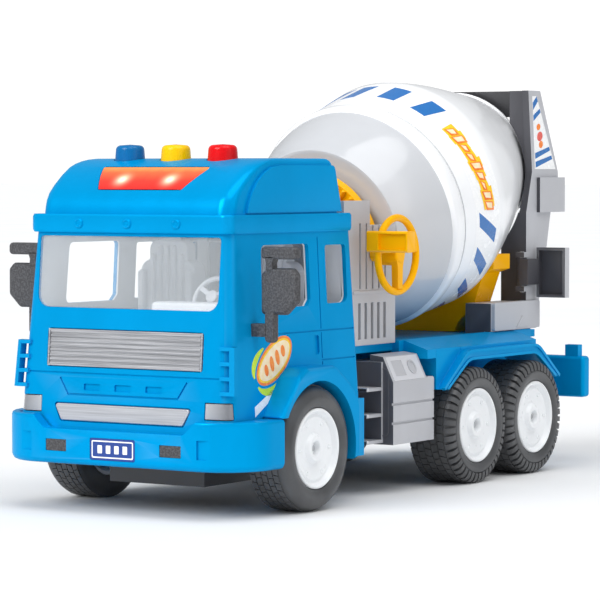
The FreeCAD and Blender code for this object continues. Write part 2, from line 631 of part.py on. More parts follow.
def mirror_left():
    """A large mirror and a small one above it on one stalk, which a mount holds to the cab."""
    y = ("-149", "-144.5")
    x = ("mirror_inner_x", "mirror_outer_x")
    parts = [
        block("mirror_mount", ("59.2", "66"), ("-149.5", "-143.5"), ("stalk_low + 2.7", "stalk_low + 8.7")),
        block("mirror_stalk", ("65.5", "70.8"), y, ("stalk_low", "pad_low + 2")),
        block("mirror_big", x, y, ("mirror_low", "mirror_high")),
        block("mirror_small", x, y, ("pad_low", "pad_high")),
    ]
    corner = front_profile("mirror_corner", [("77", "94"), ("84", "94"), ("84", "101")], ("-150", "-144"))
    return cut("mirror", fuse("mirror_whole", parts), [corner])


def printed_skins(name, blocks):
    """Thin labels that follow the cab's sloping side, where the given blocks cross it."""
    skin = cut(name + "_skin", cab_block(name + "_out", "0.25"), [cab_block(name + "_in", "0.02")])
    return common(name, skin, blocks)


def truck_stickers():
    beside = twin_block("door_label_block", ("50", "tyre_face_x"), ("-152", "-124"), ("48", "80"))
    zone = cut("door_label_zone", beside, [wheel_arch("label_arch")])
    doors = printed_skins("door_label", zone)
    tower = side_profile("tower_label", [
        ("138.6", "tower_top - 3"), ("143.6", "tower_top - 3"), ("165.8", "161.5"), ("142", "161.5")],
        ("tower_face + 0.02", "tower_face + 0.25"))
    return fuse("labels", [doors, tower, mirrored("tower_label_right", tower)])


node("cab_shell", cab_shell())
node("windshield", windshield())
node("headlights", headlights())
node("grille_panel", front_profile("grille", GRILLE, ("-169.6", "-167.05")))
node("intake_panel", front_profile("intake", INTAKE, ("-171.8", "-169.5")))
node("cab_interior", cab_interior())
node("cab_seats", fuse("seats", [seat("seat_left", "29"), seat("seat_right", "-29")]))
node("cab_steering_wheel", cab_steering_wheel())
node("front_bumper", front_bumper())
node("fog_inserts", twin_block("fogs", ("fog_inner_x", "fog_outer_x"), ("front_end + 0.2", "front_end + 1.9"),
                               ("fog_low", "fog_high")))
node("number_plate", block("plate", ("-plate_half", "plate_half"), ("front_end + 0.1", "front_end + 0.9"),
                           ("plate_low", "plate_high")))
LEFT_MIRROR = node("mirror_left", mirror_left())
node("mirror_right", mirrored("mirror_mirror", LEFT_MIRROR))
node("truck_stickers", truck_stickers())


# ---------------------------------------------------------------- roof, buttons and sound unit
def roof_form(name, inset="0"):
    """The roof's side outline, with the sloping front, pushed across the cab."""
    return side_profile(name, [
        ("visor_front + 4 + (%s)" % inset, "visor_top - 1"), ("-157 + (%s)" % inset, "151"),
        ("-141.5 + (%s) / 2" % inset, "163 - (%s)" % inset), ("roof_crest_y", "roof_top - (%s)" % inset),
        ("-70 - (%s)" % inset, "roof_top - (%s)" % inset), ("-64 - (%s)" % inset, "visor_top - 1")],
        ("-roof_half + (%s)" % inset, "roof_half - (%s)" % inset))


def lens_space(name, gap="0"):
    """The light lens as seen from the front: wide at the top."""
    low, high = "lens_low + (%s)" % gap, "lens_high - (%s)" % gap
    foot, top = "lens_low_half - (%s)" % gap, "lens_high_half - (%s)" % gap
    return front_profile(name, [("-(%s)" % foot, low), (foot, low), (top, high), ("-(%s)" % top, high)],
                         ("-160", "-138"))


def button_holes(name, grow, z):
    return [rod_z("%s_%d" % (name, index), "button_rad + %s" % grow, "%d * button_pitch" % (index - 1),
                  "button_y", z) for index in range(3)]


def cab_roof():
    band = block("visor_band", ("-visor_half", "visor_half"), ("visor_front", "visor_back"),
                 ("cab_high", "visor_top"))
    band = rounded("visor_round", band, "5", upright)
    form = fuse("roof_solid", [band, roof_form("roof_outer")])
    below = block("visor_hollow", ("-visor_half + 4", "visor_half - 4"),
                  ("visor_front + 6", "visor_back - 6"), ("cab_high - 1", "visor_top - 0.5"))
    inner = fuse("roof_inner", [roof_form("roof_hollow", "shell_wall"), below])
    holes = button_holes("button_hole", "0.3", ("150", "roof_top + 10"))
    bumps = [rod("marker_%d" % index, "marker_rad", "1.6", "%d * marker_pitch" % (index - 1),
                 "visor_front + 0.6", "marker_z", AXIS_X, 90) for index in range(3)]
    shell = cut("roof_shell", form, [inner, lens_space("lens_opening")] + holes)
    return fuse("roof", [shell] + bumps)


def roof_lens():
    wall = cut("lens_wall", roof_form("lens_outer"), [roof_form("lens_inner", "shell_wall")])
    return common("lens", wall, lens_space("lens_fit", "trim_gap"))


def sound_board():
    """The circuit board under the roof, with two lamps behind the lens and its fixing posts."""
    plate = block("board_plate", ("-42", "42"), ("-141", "-108"), ("board_low", "board_top"))
    lamps = [rod_z("lamp_%d" % index, "2.2", x, "-139", ("board_top - 0.1", "159.5"))
             for index, x in enumerate(("-board_lamp_x", "board_lamp_x"))]
    posts = twin_block("board_post", ("39", "41"), ("-122", "-118"), ("board_top - 0.1", "164.4"))
    return fuse("board", [plate, posts] + lamps)


def switch_pad():
    """The rubber sheet on the board, with a dome under each button."""
    sheet_part = block("pad_sheet", ("-36", "36"), ("-134", "-117"), ("board_top + trim_gap", "pad_top"))
    domes = [rod_z("dome_%d" % index, "3.4", "%d * button_pitch" % (index - 1), "button_y",
                   ("pad_top - 0.1", "dome_top")) for index in range(3)]
    return fuse("pad", [sheet_part] + domes)


def speaker():
    rim = rod_z("speaker_rim", "13", "0", "-92", ("142", "146"))
    magnet = rod_z("speaker_magnet", "7", "0", "-92", ("146", "151"))
    frame = block("speaker_frame", ("-52.8", "52.8"), ("-95", "-89"), ("141", "142.5"))
    return fuse("speaker_unit", [rim, magnet, frame])


def push_button(colour, index):
    """A round cap with a flange under the roof that keeps it from coming out."""
    x = "%d * button_pitch" % index
    cap = rod_z("%s_cap" % colour, "button_rad", x, "button_y", ("163", "button_high"))
    cap = rounded("%s_cap_round" % colour, cap, "2", lambda edge: edge.CenterOfMass.z > 170)
    flange = rod_z("%s_flange" % colour, "button_rad + 1.6", x, "button_y", ("162.9", "164.2"))
    stem = rod_z("%s_stem" % colour, "2.5", x, "button_y", ("160.7", "163.5"))
    return fuse("%s_button" % colour, [cap, flange, stem])


node("cab_roof", cab_roof())
node("roof_lens", roof_lens())
node("sound_board", sound_board())
node("switch_pad", switch_pad())
node("speaker", speaker())
for number, colour in ((-1, "blue"), (0, "yellow"), (1, "red")):
    node("button_" + colour, push_button(colour, number))


# ---------------------------------------------------------------- boxes beside the chassis
def tool_box_left():
    """A hollow box with a sloping instrument panel, two side grooves and three steps in front."""
    body = front_profile("box_body", [
        ("box_inner_x", "box_low"), ("box_outer_x", "box_low"), ("box_outer_x", "box_side_top"),
        ("58", "68.5"), ("50.5", "69.5"), ("50.5", "65.5"), ("box_inner_x", "65.5")],
        ("box_front_y", "box_back_y"))
    hollow = block("box_hollow", ("box_inner_x + shell_wall", "box_outer_x - shell_wall"),
                   ("box_front_y + shell_wall", "box_back_y - shell_wall"),
                   ("box_low - 1", "box_side_top - shell_wall"))
    grooves = [block("box_groove_%d" % index, ("box_outer_x - 0.8", "box_outer_x + 1"),
                     ("box_front_y - 1", "box_back_y + 1"), (height, "%s + 1.2" % height))
               for index, height in enumerate(("35", "44.5"))]
    notch = block("box_notch", ("box_inner_x - 1", "box_outer_x + 1"), ("box_back_y - 7", "box_back_y + 1"),
                  ("box_side_top + 1", "75"))
    box = cut("box", body, [hollow] + grooves + [notch])
    shelf_x = ("shelf_in_x", "shelf_out_x")
    shelves = [block("shelf_%d" % index, shelf_x, ("shelf_front_y", "-30"), (height, "%s + 1.6" % height))
               for index, height in enumerate(("26", "39", "52"))]
    cheek = block("shelf_cheek", ("shelf_in_x", "shelf_in_x + 1.6"), ("shelf_front_y", "-30"), ("26", "66"))
    shelf_back = block("shelf_back", shelf_x, ("-32", "-30"), ("26", "66"))
    return fuse("box_with_steps", [box] + shelves + [cheek, shelf_back])


LEFT_BOX = node("tool_box_left", tool_box_left())
node("tool_box_right", mirrored("box_mirror", LEFT_BOX))


# ---------------------------------------------------------------- drum and hand drive
def on_axis(station, radius="0"):
    """Y and Z of a place above the drum's axis: station along it, radius straight out from it."""
    y = "drum_y + (%s) * cos(drum_tilt) - (%s) * sin(drum_tilt)" % (station, radius)
    z = "drum_z + (%s) * sin(drum_tilt) + (%s) * cos(drum_tilt)" % (station, radius)
    return y, z


def drum_turned(name, points):
    """A ring-shaped piece of the drum; the sketch is drawn along Y and tilted into place."""
    return turned(name, points, 0, "drum_y", "drum_z", "Y", value("drum_tilt"))


def drum_front_shell():
    return drum_turned("front_shell", [
        ("nose_s", "0"), ("nose_s", "nose_rad"), ("nose_s + 6", "nose_rad + 1"), ("cone_s", "cone_rad"),
        ("groove_s", "groove_rad"), ("groove_s", "groove_rad - drum_wall"),
        ("cone_s", "groove_rad - drum_wall"), ("nose_s + 7", "nose_rad - drum_wall"),
        ("nose_s + drum_wall", "nose_rad - drum_wall - 2"), ("nose_s + drum_wall", "0")])


def drum_rear_shell():
    return drum_turned("rear_shell", [
        ("groove_s", "groove_rad - drum_wall"), ("groove_s", "groove_rad"), ("band_s", "band_rad"),
        ("belly_s", "belly_rad"), ("mouth_s", "mouth_rad"), ("mouth_s", "mouth_rad - drum_wall"),
        ("belly_s", "belly_rad - drum_wall - 0.3"), ("band_s", "groove_rad - drum_wall")])


def mixing_fins():
    """Two plain paddles on the inside of the rear shell, opposite each other."""
    paddles = []
    for index, side in enumerate((1, -1)):
        outer = [Vector(0, value("band_s"), 46), Vector(0, value("belly_s"), 48), Vector(0, 108, 34),
                 Vector(0, 108, value("mouth_rad") + 3.4),
                 Vector(0, value("belly_s"), value("belly_rad") - 1.2),
                 Vector(0, value("band_s"), value("groove_rad") - 1)]
        face = Part.Face(Part.makePolygon(outer + [outer[0]]))
        paddle = face.extrude(Vector(1.8, 0, 0))
        if side < 0:
            paddle.rotate(Vector(0, 0, 0), AXIS_Y, 180)
        paddles.append(paddle)
    return paddles


def rear_shell_with_fins():
    shell = drum_rear_shell()
    fins = doc.addObject("Part::Feature", "fins")
    fins.Shape = Part.makeCompound(mixing_fins())
    place(fins, 0, "drum_y", "drum_z", AXIS_X, value("drum_tilt"))
    return fuse("rear_shell_whole", [shell, fins])


def drum_stickers():
    return drum_turned("stripe_band", [
        ("band_s + 1", "band_rad + 0.13"), ("band_s + 1", "band_rad + 0.33"),
        ("belly_s - 2", "belly_rad + 0.06"), ("belly_s - 2", "belly_rad - 0.14")])


def crown_gear():
    """The crown wheel: a dished disc, face teeth on its front and a journal for the bearing."""
    disc = Part.makeCylinder(value("crown_rad"), 5, Vector(0, value("crown_s"), 0), AXIS_Y)
    boss = Part.makeCylinder(14, value("nose_s - crown_s"), Vector(0, value("crown_s"), 0), AXIS_Y)
    journal = Part.makeCylinder(5, 12.4, Vector(0, value("crown_s") - 12.3, 0), AXIS_Y)
    whole = disc.fuse([boss, journal])
    size = value("gear_size")
    teeth = int(value("crown_teeth"))
    middle = teeth * size / 2
    for tooth in range(teeth):
        half, tip_half, foot, tip = 1.05, 0.35, value("crown_s") + 0.2, value("crown_s") - 2.3
        corners = [Vector(-half, foot, middle - 3.4), Vector(half, foot, middle - 3.4),
                   Vector(tip_half, tip, middle - 3.4), Vector(-tip_half, tip, middle - 3.4)]
        bar = Part.Face(Part.makePolygon(corners + [corners[0]])).extrude(Vector(0, 0, 6.8))
        bar.rotate(Vector(0, 0, 0), AXIS_Y, 90 + 360.0 * tooth / teeth)
        whole = whole.fuse(bar)
    piece = doc.addObject("Part::Feature", "crown_shape")
    piece.Shape = whole.removeSplitter()
    return place(piece, 0, "drum_y", "drum_z", AXIS_X, value("drum_tilt"))


def pinion_shaft():
    """The hand shaft with its pinion; the gap between two teeth faces the crown wheel."""
    size = value("gear_size")
    teeth = int(value("pinion_teeth"))
    towards_crown = value("drum_tilt")
    pinion = gear_shape(teeth, size, 29.6, 36.4, mesh_turn(teeth, towards_crown))
    rod_shape = Part.makeCylinder(value("shaft_rad"), value("hand_x - 1") + 47, Vector(-47, 0, 0), AXIS_X)
    collar = Part.makeCylinder(3.6, 4, Vector(48.4, 0, 0), AXIS_X)
    y, z = on_axis("shaft_s")
    shape_node("pinion_shaft", rod_shape.fuse([pinion, collar]).removeSplitter(), 0, y, z)


def handwheel():
    """A ring with a cross bar and a spoke; a hollow grip for the finger stands out from its front edge."""
    y, z = on_axis("shaft_s")
    ring = doc.addObject("Part::Torus", "hand_ring")
    bind(ring, Radius1="hand_rad - hand_tube", Radius2="hand_tube")
    place(ring, "hand_x", y, z, AXIS_Y, 90)
    hub = rod_x("hand_hub", "5.5", ("hand_x - 9", "hand_x + 3"), y, z)
    bar = block("hand_bar", ("hand_x - 1.6", "hand_x + 1.6"), (y + " - hand_rad + 2", y + " + hand_rad - 2"),
                (z + " + 1", z + " + 9"))
    grip = block("hand_grip", ("hand_x - grip_inner", "hand_x + grip_outer"),
                 (y + " - grip_front", y + " - grip_back"), (z + " + grip_low", z + " + grip_high"))
    pocket = block("hand_pocket", ("hand_x + hand_tube + 0.4", "hand_x + grip_outer - grip_wall"),
                   (y + " - grip_front - 1", y + " - grip_back - grip_wall"),
                   (z + " + grip_low + grip_wall", z + " + grip_high - grip_wall"))
    spoke = block("hand_spoke", ("hand_x - 1.6", "hand_x + 1.6"), (y + " - 2.8", y + " + 2.8"),
                  (z + " - hand_rad + 2", z + " + 1"))
    whole = fuse("hand_whole", [ring, hub, bar, grip, spoke])
    bore = rod_x("hand_bore", "shaft_rad", ("hand_x - 10", "hand_x - 1"), y, z)
    return cut("hand_bored", whole, [bore, pocket])


def drive_housing():
    """The grey stack behind the cab: bulkhead, wings, ribbed columns and louvred foot."""
    wall = block("stack_wall", ("-stack_half", "stack_half"), ("stack_front_y", "stack_front_y + 3"),
                 ("deck_top", "stack_top"))
    wings = twin_block("stack_wing", ("stack_half - 4", "stack_half"), ("stack_front_y", "stack_wing_y"),
                       ("deck_top", "stack_top"))
    column_x = ("stack_half - 8", "stack_half")
    columns = twin_block("stack_column", column_x, ("column_front_y", "stack_back_y"),
                         ("louvre_top - 1", "column_top"))
    foot = twin_block("stack_foot", column_x, ("column_front_y", "stack_back_y"), ("deck_top", "louvre_top"))
    slot_x = ("stack_half - slot_deep", "stack_half + 1")
    slots = []
    for index in range(5):
        along = "slot_front_y + %d * slot_pitch" % index
        slots.append(twin_block("slot_%d" % index, slot_x, (along, along + " + slot_wide"),
                                ("deck_top + 3", "louvre_top - 6")))
        slots.append(twin_block("rib_%d" % index, slot_x, (along + " + 1", along + " + slot_wide"),
                                ("louvre_top + 1", "column_top + 1")))
    y, z = on_axis("shaft_s")
    bore = rod_x("stack_bore", "shaft_rad + fit_gap", ("-60", "60"), y, z)
    return cut("stack", fuse("stack_whole", [wall, wings, columns, foot]), slots + [bore])


def drum_front_bearing():
    """A bracket square to the drum's axis, cut off level with the deck."""
    plate = block("bearing_plate", ("-12", "12"), ("crown_s - 11", "crown_s - 4.5"), ("-60", "9"))
    eye = rod("bearing_eye", "12", "6.5", "0", "crown_s - 4.5", "0", AXIS_X, 90)
    bore = rod("bearing_bore", "5.08", "40", "0", "crown_s + 10", "0", AXIS_X, 90)
    bracket = cut("bearing_upright", fuse("bearing_whole", [plate, eye]), [bore])
    place(bracket, 0, "drum_y", "drum_z", AXIS_X, value("drum_tilt"))
    below = block("below_deck", ("-30", "30"), ("-60", "60"), ("20", "deck_top"))
    return cut("bearing", bracket, [below])


def drum_clearance(name, gap):
    """The rear of the drum grown by a gap: whatever stands round the drum is cut back to it."""
    return drum_turned(name, [
        ("band_s", "0"), ("band_s", "band_rad + (%s)" % gap), ("belly_s", "belly_rad + (%s)" % gap),
        ("mouth_s + 1.2", "mouth_rad + (%s)" % gap), ("mouth_s + 1.2", "0")])


def drum_saddle():
    """A yellow cradle on the deck, hollowed to the drum's cone."""
    flank = [("22", "deck_top"), ("24", "79"), ("33.5", "88"), ("40", "106"), ("46", "108"), ("46", "116")]
    other = [("-" + across, height) for across, height in reversed(flank)]
    cradle = front_profile("cradle", flank + other, ("103.5", "121.5"))
    return cut("saddle", cradle, [drum_clearance("saddle_clearance", "0.5")])


node("crown_gear", crown_gear())
node("drum_front_shell", drum_front_shell())
node("drum_rear_shell", rear_shell_with_fins())
node("drum_stickers", drum_stickers())
pinion_shaft()
node("handwheel", handwheel())
node("drive_housing", drive_housing())
node("drum_front_bearing", drum_front_bearing())
node("drum_saddle", drum_saddle())


# ---------------------------------------------------------------- rear tower and side chute
def tower_side(name):
    """The left side frame: foot, wall, block and the flange that faces the drum."""
    wall = side_profile(name + "_wall", [
        ("tower_front_y", "rail_top + trim_gap"), ("tower_front_y", "tower_block_low"), ("139", "160"),
        ("134.5", "tower_top"), ("148", "tower_top"), ("169", "160"), ("169", "tower_block_low"),
        ("160.5", "tower_block_low"), ("155.5", "117"), ("147.5", "tower_foot_top"),
        ("tower_foot_back_y", "rail_top + trim_gap")], ("tower_face - tower_wall", "tower_face"))
    along = ("tower_foot_front_y", "tower_foot_back_y")
    foot = block(name + "_foot", ("tower_foot_x", "tower_face"), along,
                 ("rail_top + trim_gap", "tower_foot_top"))
    heel = block(name + "_heel", ("tower_foot_x", "deck_half"), along, ("deck_top", "80"))
    box = block(name + "_box", ("tower_face - tower_wall", "tower_face + 2"),
                ("tower_foot_back_y", "tower_block_back_y"), ("tower_block_low", "tower_block_high"))
    flange = block(name + "_flange", ("tower_foot_x", "tower_face"), ("tower_front_y", "tower_front_y + 3"),
                   ("80", "tower_block_low"))
    upper = block(name + "_upper", ("36", "tower_face"), ("139", "141"), ("tower_block_low", "tower_top"))
    return cut(name + "_cut", fuse(name + "_whole", [wall, foot, heel, box, flange, upper]),
               [drum_clearance(name + "_clearance", "1.5")])


def tower_left():
    """The left side frame also carries the two lugs of the chute's hinge."""
    side = tower_side("left_side")
    lugs = []
    for index, z in enumerate((("95.4", "98.2"), ("113.8", "116.6"))):
        lug = block("lug_%d" % index, ("chute_pin_x - 2.8", "chute_pin_x + 2.5"),
                    ("chute_pin_y - 2.5", "tower_front_y + 1"), z)
        lugs.append(lug)
    bore = rod_z("lug_bore", "chute_pin_rad", "chute_pin_x", "chute_pin_y", ("90", "120"))
    return cut("left_frame", fuse("left_with_lugs", [side] + lugs), [bore])


def feed_hopper():
    """The cross piece between the side frames: top bar, sloping back and two ribs."""
    half = "tower_face - tower_wall - trim_gap"
    side = ("-(%s)" % half, half)
    bar = side_profile("hopper_bar", [("144", "tower_top"), ("146.8", "tower_top"), ("152", "190"),
                                      ("149", "190")], side)
    back = side_profile("hopper_back", [("152.3", "184"), ("155.2", "184"), ("167.5", "160"),
                                        ("167.5", "140"), ("165", "140"), ("165", "159.5")], side)
    rib = [("144", "tower_top"), ("146.8", "tower_top"), ("167.5", "160"), ("165", "159.5"), ("149", "190")]
    ribs = [side_profile("hopper_rib_left", rib, ("42", half)),
            side_profile("hopper_rib_right", rib, ("-(%s)" % half, "-42"))]
    return fuse("hopper", [bar, back] + ribs)


def discharge_chute():
    """A shallow dished tray on an arm; its barrel turns on the pin."""
    tray = cut("tray", block("tray_out", ("52.6", "70"), ("139.5", "144.5"), ("chute_low", "chute_high")),
               [block("tray_in", ("54.1", "68.5"), ("139", "143"), ("chute_low + 1.5", "chute_high - 1.5"))])
    arm = front_profile("arm", [("chute_pin_x", "99"), ("54", "99"), ("54", "113"), ("chute_pin_x", "113")],
                        ("chute_pin_y - 2.5", "chute_pin_y + 2.5"))
    elbow = block("arm_elbow", ("51.4", "54"), ("chute_pin_y - 2.5", "140"), ("99", "113"))
    barrel = rod_z("barrel", "2.5", "chute_pin_x", "chute_pin_y", ("98.4", "113.6"))
    bore = rod_z("barrel_bore", "chute_pin_rad + 0.06", "chute_pin_x", "chute_pin_y", ("90", "120"))
    return cut("chute", fuse("chute_whole", [tray, arm, elbow, barrel]), [bore])


LEFT_TOWER = node("tower_side_left", tower_left())
node("tower_side_right", mirrored("tower_mirror", tower_side("right_side")))
node("feed_hopper", feed_hopper())
node("discharge_chute", discharge_chute())
node("chute_pin", rod_z("hinge_pin", "chute_pin_rad", "chute_pin_x", "chute_pin_y", ("95", "117")))


# ---------------------------------------------------------------- check and write
doc.recompute()
broken = [item.Name for item in doc.Objects if "Invalid" in item.State or "Error" in item.State]
if broken:
    raise RuntimeError("not computed: " + ", ".join(broken))
for item in NODES:
    if item.Shape.isNull() or not item.Shape.isValid():
        raise RuntimeError("bad shape: " + item.Label)
os.makedirs("parts", exist_ok=True)
for item in NODES:
    item.Shape.exportStep("parts/%s.step" % item.Label)
    print("%-22s %3d solids %10.1f mm3" % (item.Label, len(item.Shape.Solids), item.Shape.Volume))
print(len(NODES), "nodes")
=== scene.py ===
"""Toy cement mixer truck: the looks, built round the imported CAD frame.

The frame's units are metres.  The shapes below are worked out in millimetres, in the same
frame (the cab faces -Y, the truck's left is +X, +Z is up), and are scaled when a mesh is made.
"""
import json
import math

import bmesh
import bpy
from mathutils import Matrix, Vector


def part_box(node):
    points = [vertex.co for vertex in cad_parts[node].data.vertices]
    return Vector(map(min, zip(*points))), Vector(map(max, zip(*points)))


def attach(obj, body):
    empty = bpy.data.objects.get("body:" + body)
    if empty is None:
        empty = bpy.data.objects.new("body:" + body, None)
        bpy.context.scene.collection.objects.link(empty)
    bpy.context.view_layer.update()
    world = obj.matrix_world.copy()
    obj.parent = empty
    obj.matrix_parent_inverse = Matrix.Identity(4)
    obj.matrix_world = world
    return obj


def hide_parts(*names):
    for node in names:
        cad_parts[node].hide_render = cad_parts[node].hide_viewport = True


MM = 0.001
SHARP = 32  # degrees from which an edge is rounded off
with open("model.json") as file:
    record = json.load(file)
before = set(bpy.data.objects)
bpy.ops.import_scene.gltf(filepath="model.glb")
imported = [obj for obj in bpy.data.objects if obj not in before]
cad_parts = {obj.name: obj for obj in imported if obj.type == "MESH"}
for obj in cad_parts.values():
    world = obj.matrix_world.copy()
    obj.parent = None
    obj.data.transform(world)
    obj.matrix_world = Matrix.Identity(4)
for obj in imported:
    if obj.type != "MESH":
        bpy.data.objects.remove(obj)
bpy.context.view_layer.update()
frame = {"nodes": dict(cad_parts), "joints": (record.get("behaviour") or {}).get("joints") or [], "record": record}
NODES = frame["nodes"]
RECORD = frame["record"]
BODY_OF = {node: body for body, nodes in RECORD["behaviour"]["bodies"].items() for node in nodes}
SIDES = (("left", 1), ("right", -1))


def box(node):
    """Lowest and highest corner of a CAD node, in millimetres."""
    low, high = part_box(node)
    return low / MM, high / MM


# ---------------------------------------------------------------- node materials
def linear(red, green, blue):
    """A colour given as 0-255 screen values, in linear light."""
    def channel(value):
        value /= 255
        return value / 12.92 if value <= 0.04045 else ((value + 0.055) / 1.055) ** 2.4
    return channel(red), channel(green), channel(blue), 1.0


class Shader:
    """A Principled material whose colour, roughness and bump come from object-space noise."""

    def __init__(self, name, rough, **fixed):
        self.material = bpy.data.materials.new(name)
        self.material.use_nodes = True
        self.tree = self.material.node_tree
        self.surface = self.tree.nodes["Principled BSDF"]
        self.surface.inputs["Roughness"].default_value = rough
        for socket, value in fixed.items():
            self.surface.inputs[socket.replace("_", " ")].default_value = value
        self.place = self.node("ShaderNodeTexCoord").outputs["Object"]

    def node(self, kind, **settings):
        made = self.tree.nodes.new(kind)
        for key, value in settings.items():
            setattr(made, key, value)
        return made

    def link(self, source, target):
        self.tree.links.new(source, target)

    def noise(self, scale, detail=3.0, stretch=None):
        """Noise with features about 1/scale metres wide; stretch scales its three axes."""
        place = self.place
        if stretch:
            mapping = self.node("ShaderNodeMapping")
            mapping.inputs["Scale"].default_value = stretch
            self.link(self.place, mapping.inputs["Vector"])
            place = mapping.outputs["Vector"]
        made = self.node("ShaderNodeTexNoise")
        made.inputs["Scale"].default_value = scale
        made.inputs["Detail"].default_value = detail
        self.link(place, made.inputs["Vector"])
        return made.outputs["Fac"]

    def math(self, operation, first, second=0.0, third=0.0):
        made = self.node("ShaderNodeMath", operation=operation)
        for socket, value in zip(made.inputs, (first, second, third)):
            if isinstance(value, (int, float)):
                socket.default_value = value
            else:
                self.link(value, socket)
        return made.outputs[0]

    def ramp(self, fac, stops):
        """Colours at positions along 0..1."""
        made = self.node("ShaderNodeValToRGB")
        elements = made.color_ramp.elements
        while len(elements) < len(stops):
            elements.new(0.5)
        for element, (position, color) in zip(elements, stops):
            element.position = position
            element.color = color
        self.link(fac, made.inputs["Fac"])
        return made.outputs["Color"]

    def mix(self, fac, first, second):
        made = self.node("ShaderNodeMix", data_type="RGBA")
        for socket, value in ((made.inputs[0], fac), (made.inputs[6], first), (made.inputs[7], second)):
            if isinstance(value, (int, float, tuple)):
                socket.default_value = value
            else:
                self.link(value, socket)
        return made.outputs[2]

    def axis(self, which):
        split = self.node("ShaderNodeSeparateXYZ")
        self.link(self.place, split.inputs[0])
        return split.outputs[which]

    def color(self, socket):
        self.link(socket, self.surface.inputs["Base Color"])

    def rough(self, fac, low, high):
        spread = self.node("ShaderNodeMapRange")
        spread.inputs["To Min"].default_value = low
        spread.inputs["To Max"].default_value = high
        self.link(fac, spread.inputs["Value"])
        self.link(spread.outputs["Result"], self.surface.inputs["Roughness"])

    def bump(self, *layers):
        """Each layer is (height socket, distance in millimetres); later layers lie on earlier ones."""
        normal = None
        for height, distance in layers:
            made = self.node("ShaderNodeBump")
            made.inputs["Distance"].default_value = distance * MM
            self.link(height, made.inputs["Height"])
            if normal:
                self.link(normal, made.inputs["Normal"])
            normal = made.outputs["Normal"]
        self.link(normal, self.surface.inputs["Normal"])


def shaded(color, factor):
    """The colour made darker or lighter."""
    return tuple(min(1.0, channel * factor) for channel in color[:3]) + (1.0,)


def moulded(name, color, rough=0.28, spread=0.06, mottle=0.05, grain=0.012, wave=0.05, wear=0.12, **fixed):
    """Injection-moulded plastic: faint flow marks, sink waves, fine grain and paler worn edges."""
    made = Shader(name, rough, **fixed)
    flow = made.noise(38, 4, (1.0, 1.0, 0.45))
    fine = made.noise(1500, 2)
    tone = made.ramp(flow, [(0.3, shaded(color, 1 - mottle)), (0.7, shaded(color, 1 + mottle))])
    edge = made.node("ShaderNodeNewGeometry").outputs["Pointiness"]
    worn = made.math("MULTIPLY", made.math("SMOOTH_MAX", made.math("MULTIPLY_ADD", edge, 9.0, -4.75), 0.0,
                                           0.1), wear)
    pale = tuple(0.55 * channel + 0.45 for channel in color[:3]) + (1.0,)
    made.color(made.mix(worn, tone, pale))
    made.rough(made.noise(120, 5), rough - spread, rough + spread)
    made.bump((made.noise(70, 2), wave), (fine, grain))
    return made.material


def speckled(name, color, light, rough, grain):
    """Matte plastic with a spark-eroded texture: light specks and a coarse grain."""
    made = Shader(name, rough)
    coarse = made.noise(1100, 4)
    made.color(made.ramp(coarse, [(0.42, color), (0.62, light)]))
    made.rough(made.noise(90, 4), rough - 0.08, rough + 0.08)
    made.bump((made.noise(60, 2), 0.05), (coarse, grain))
    return made.material


def rubber(name):
    """Tyre rubber: grey bloom, fine grain and soft sheen."""
    made = Shader(name, 0.5, Specular_IOR_Level=0.45)
    bloom = made.noise(45, 6)
    made.color(made.ramp(bloom, [(0.3, linear(62, 63, 65)), (0.75, linear(92, 93, 95))]))
    made.rough(made.noise(200, 4), 0.3, 0.46)
    made.bump((made.noise(1400, 3), 0.03))
    return made.material


def silvered(name, low, high):
    """Silver hot-stamped plastic: sideways brushing under a satin coat."""
    made = Shader(name, 0.3, Metallic=0.35, Coat_Weight=0.25, Coat_Roughness=0.12)
    brush = made.noise(260, 5, (0.12, 1.0, 6.0))
    made.color(made.ramp(brush, [(0.3, low), (0.72, high)]))
    made.rough(made.noise(140, 3), 0.26, 0.42)
    made.bump((brush, 0.015))
    return made.material


def clear_film(name, tint, alpha):
    """Thin clear moulding with a little haze and faint scratches."""
    made = Shader(name, 0.08, IOR=1.49)
    scratch = made.noise(420, 6, (1.0, 0.05, 1.0))
    made.color(made.ramp(scratch, [(0.4, shaded(tint, 0.95)), (0.6, tint)]))
    made.rough(scratch, 0.03, 0.12)
    made.surface.inputs["Alpha"].default_value = alpha
    made.bump((made.noise(55, 2), 0.06))
    return made.material


def printed(name, color, second=None, scale=900):
    """Glossy printed film: a fine print dot and slight unevenness of the ink."""
    made = Shader(name, 0.25, Coat_Weight=0.3, Coat_Roughness=0.08)
    made.color(made.ramp(made.noise(scale, 2), [(0.35, color), (0.68, second or shaded(color, 1.1))]))
    made.rough(made.noise(160, 3), 0.2, 0.32)
    made.bump((made.noise(120, 3), 0.02))
    return made.material


def steel(name, low, high, rough=0.3):
    """Turned metal: fine rings round the X axis."""
    made = Shader(name, rough, Metallic=1.0)
    turned = made.noise(700, 4, (6.0, 0.4, 0.4))
    made.color(made.ramp(turned, [(0.3, low), (0.7, high)]))
    made.rough(turned, rough - 0.08, rough + 0.1)
    made.bump((turned, 0.01))
    return made.material


def circuit(name):
    """Green board with darker copper tracks under the lacquer."""
    made = Shader(name, 0.35, Coat_Weight=0.4)
    tracks = made.node("ShaderNodeTexBrick")
    tracks.inputs["Scale"].default_value = 120
    tracks.inputs["Color1"].default_value = linear(22, 98, 50)
    tracks.inputs["Color2"].default_value = linear(28, 112, 58)
    tracks.inputs["Mortar"].default_value = linear(96, 140, 60)
    made.link(made.place, tracks.inputs["Vector"])
    made.color(tracks.outputs["Color"])
    made.bump((tracks.outputs["Fac"], 0.03))
    return made.material


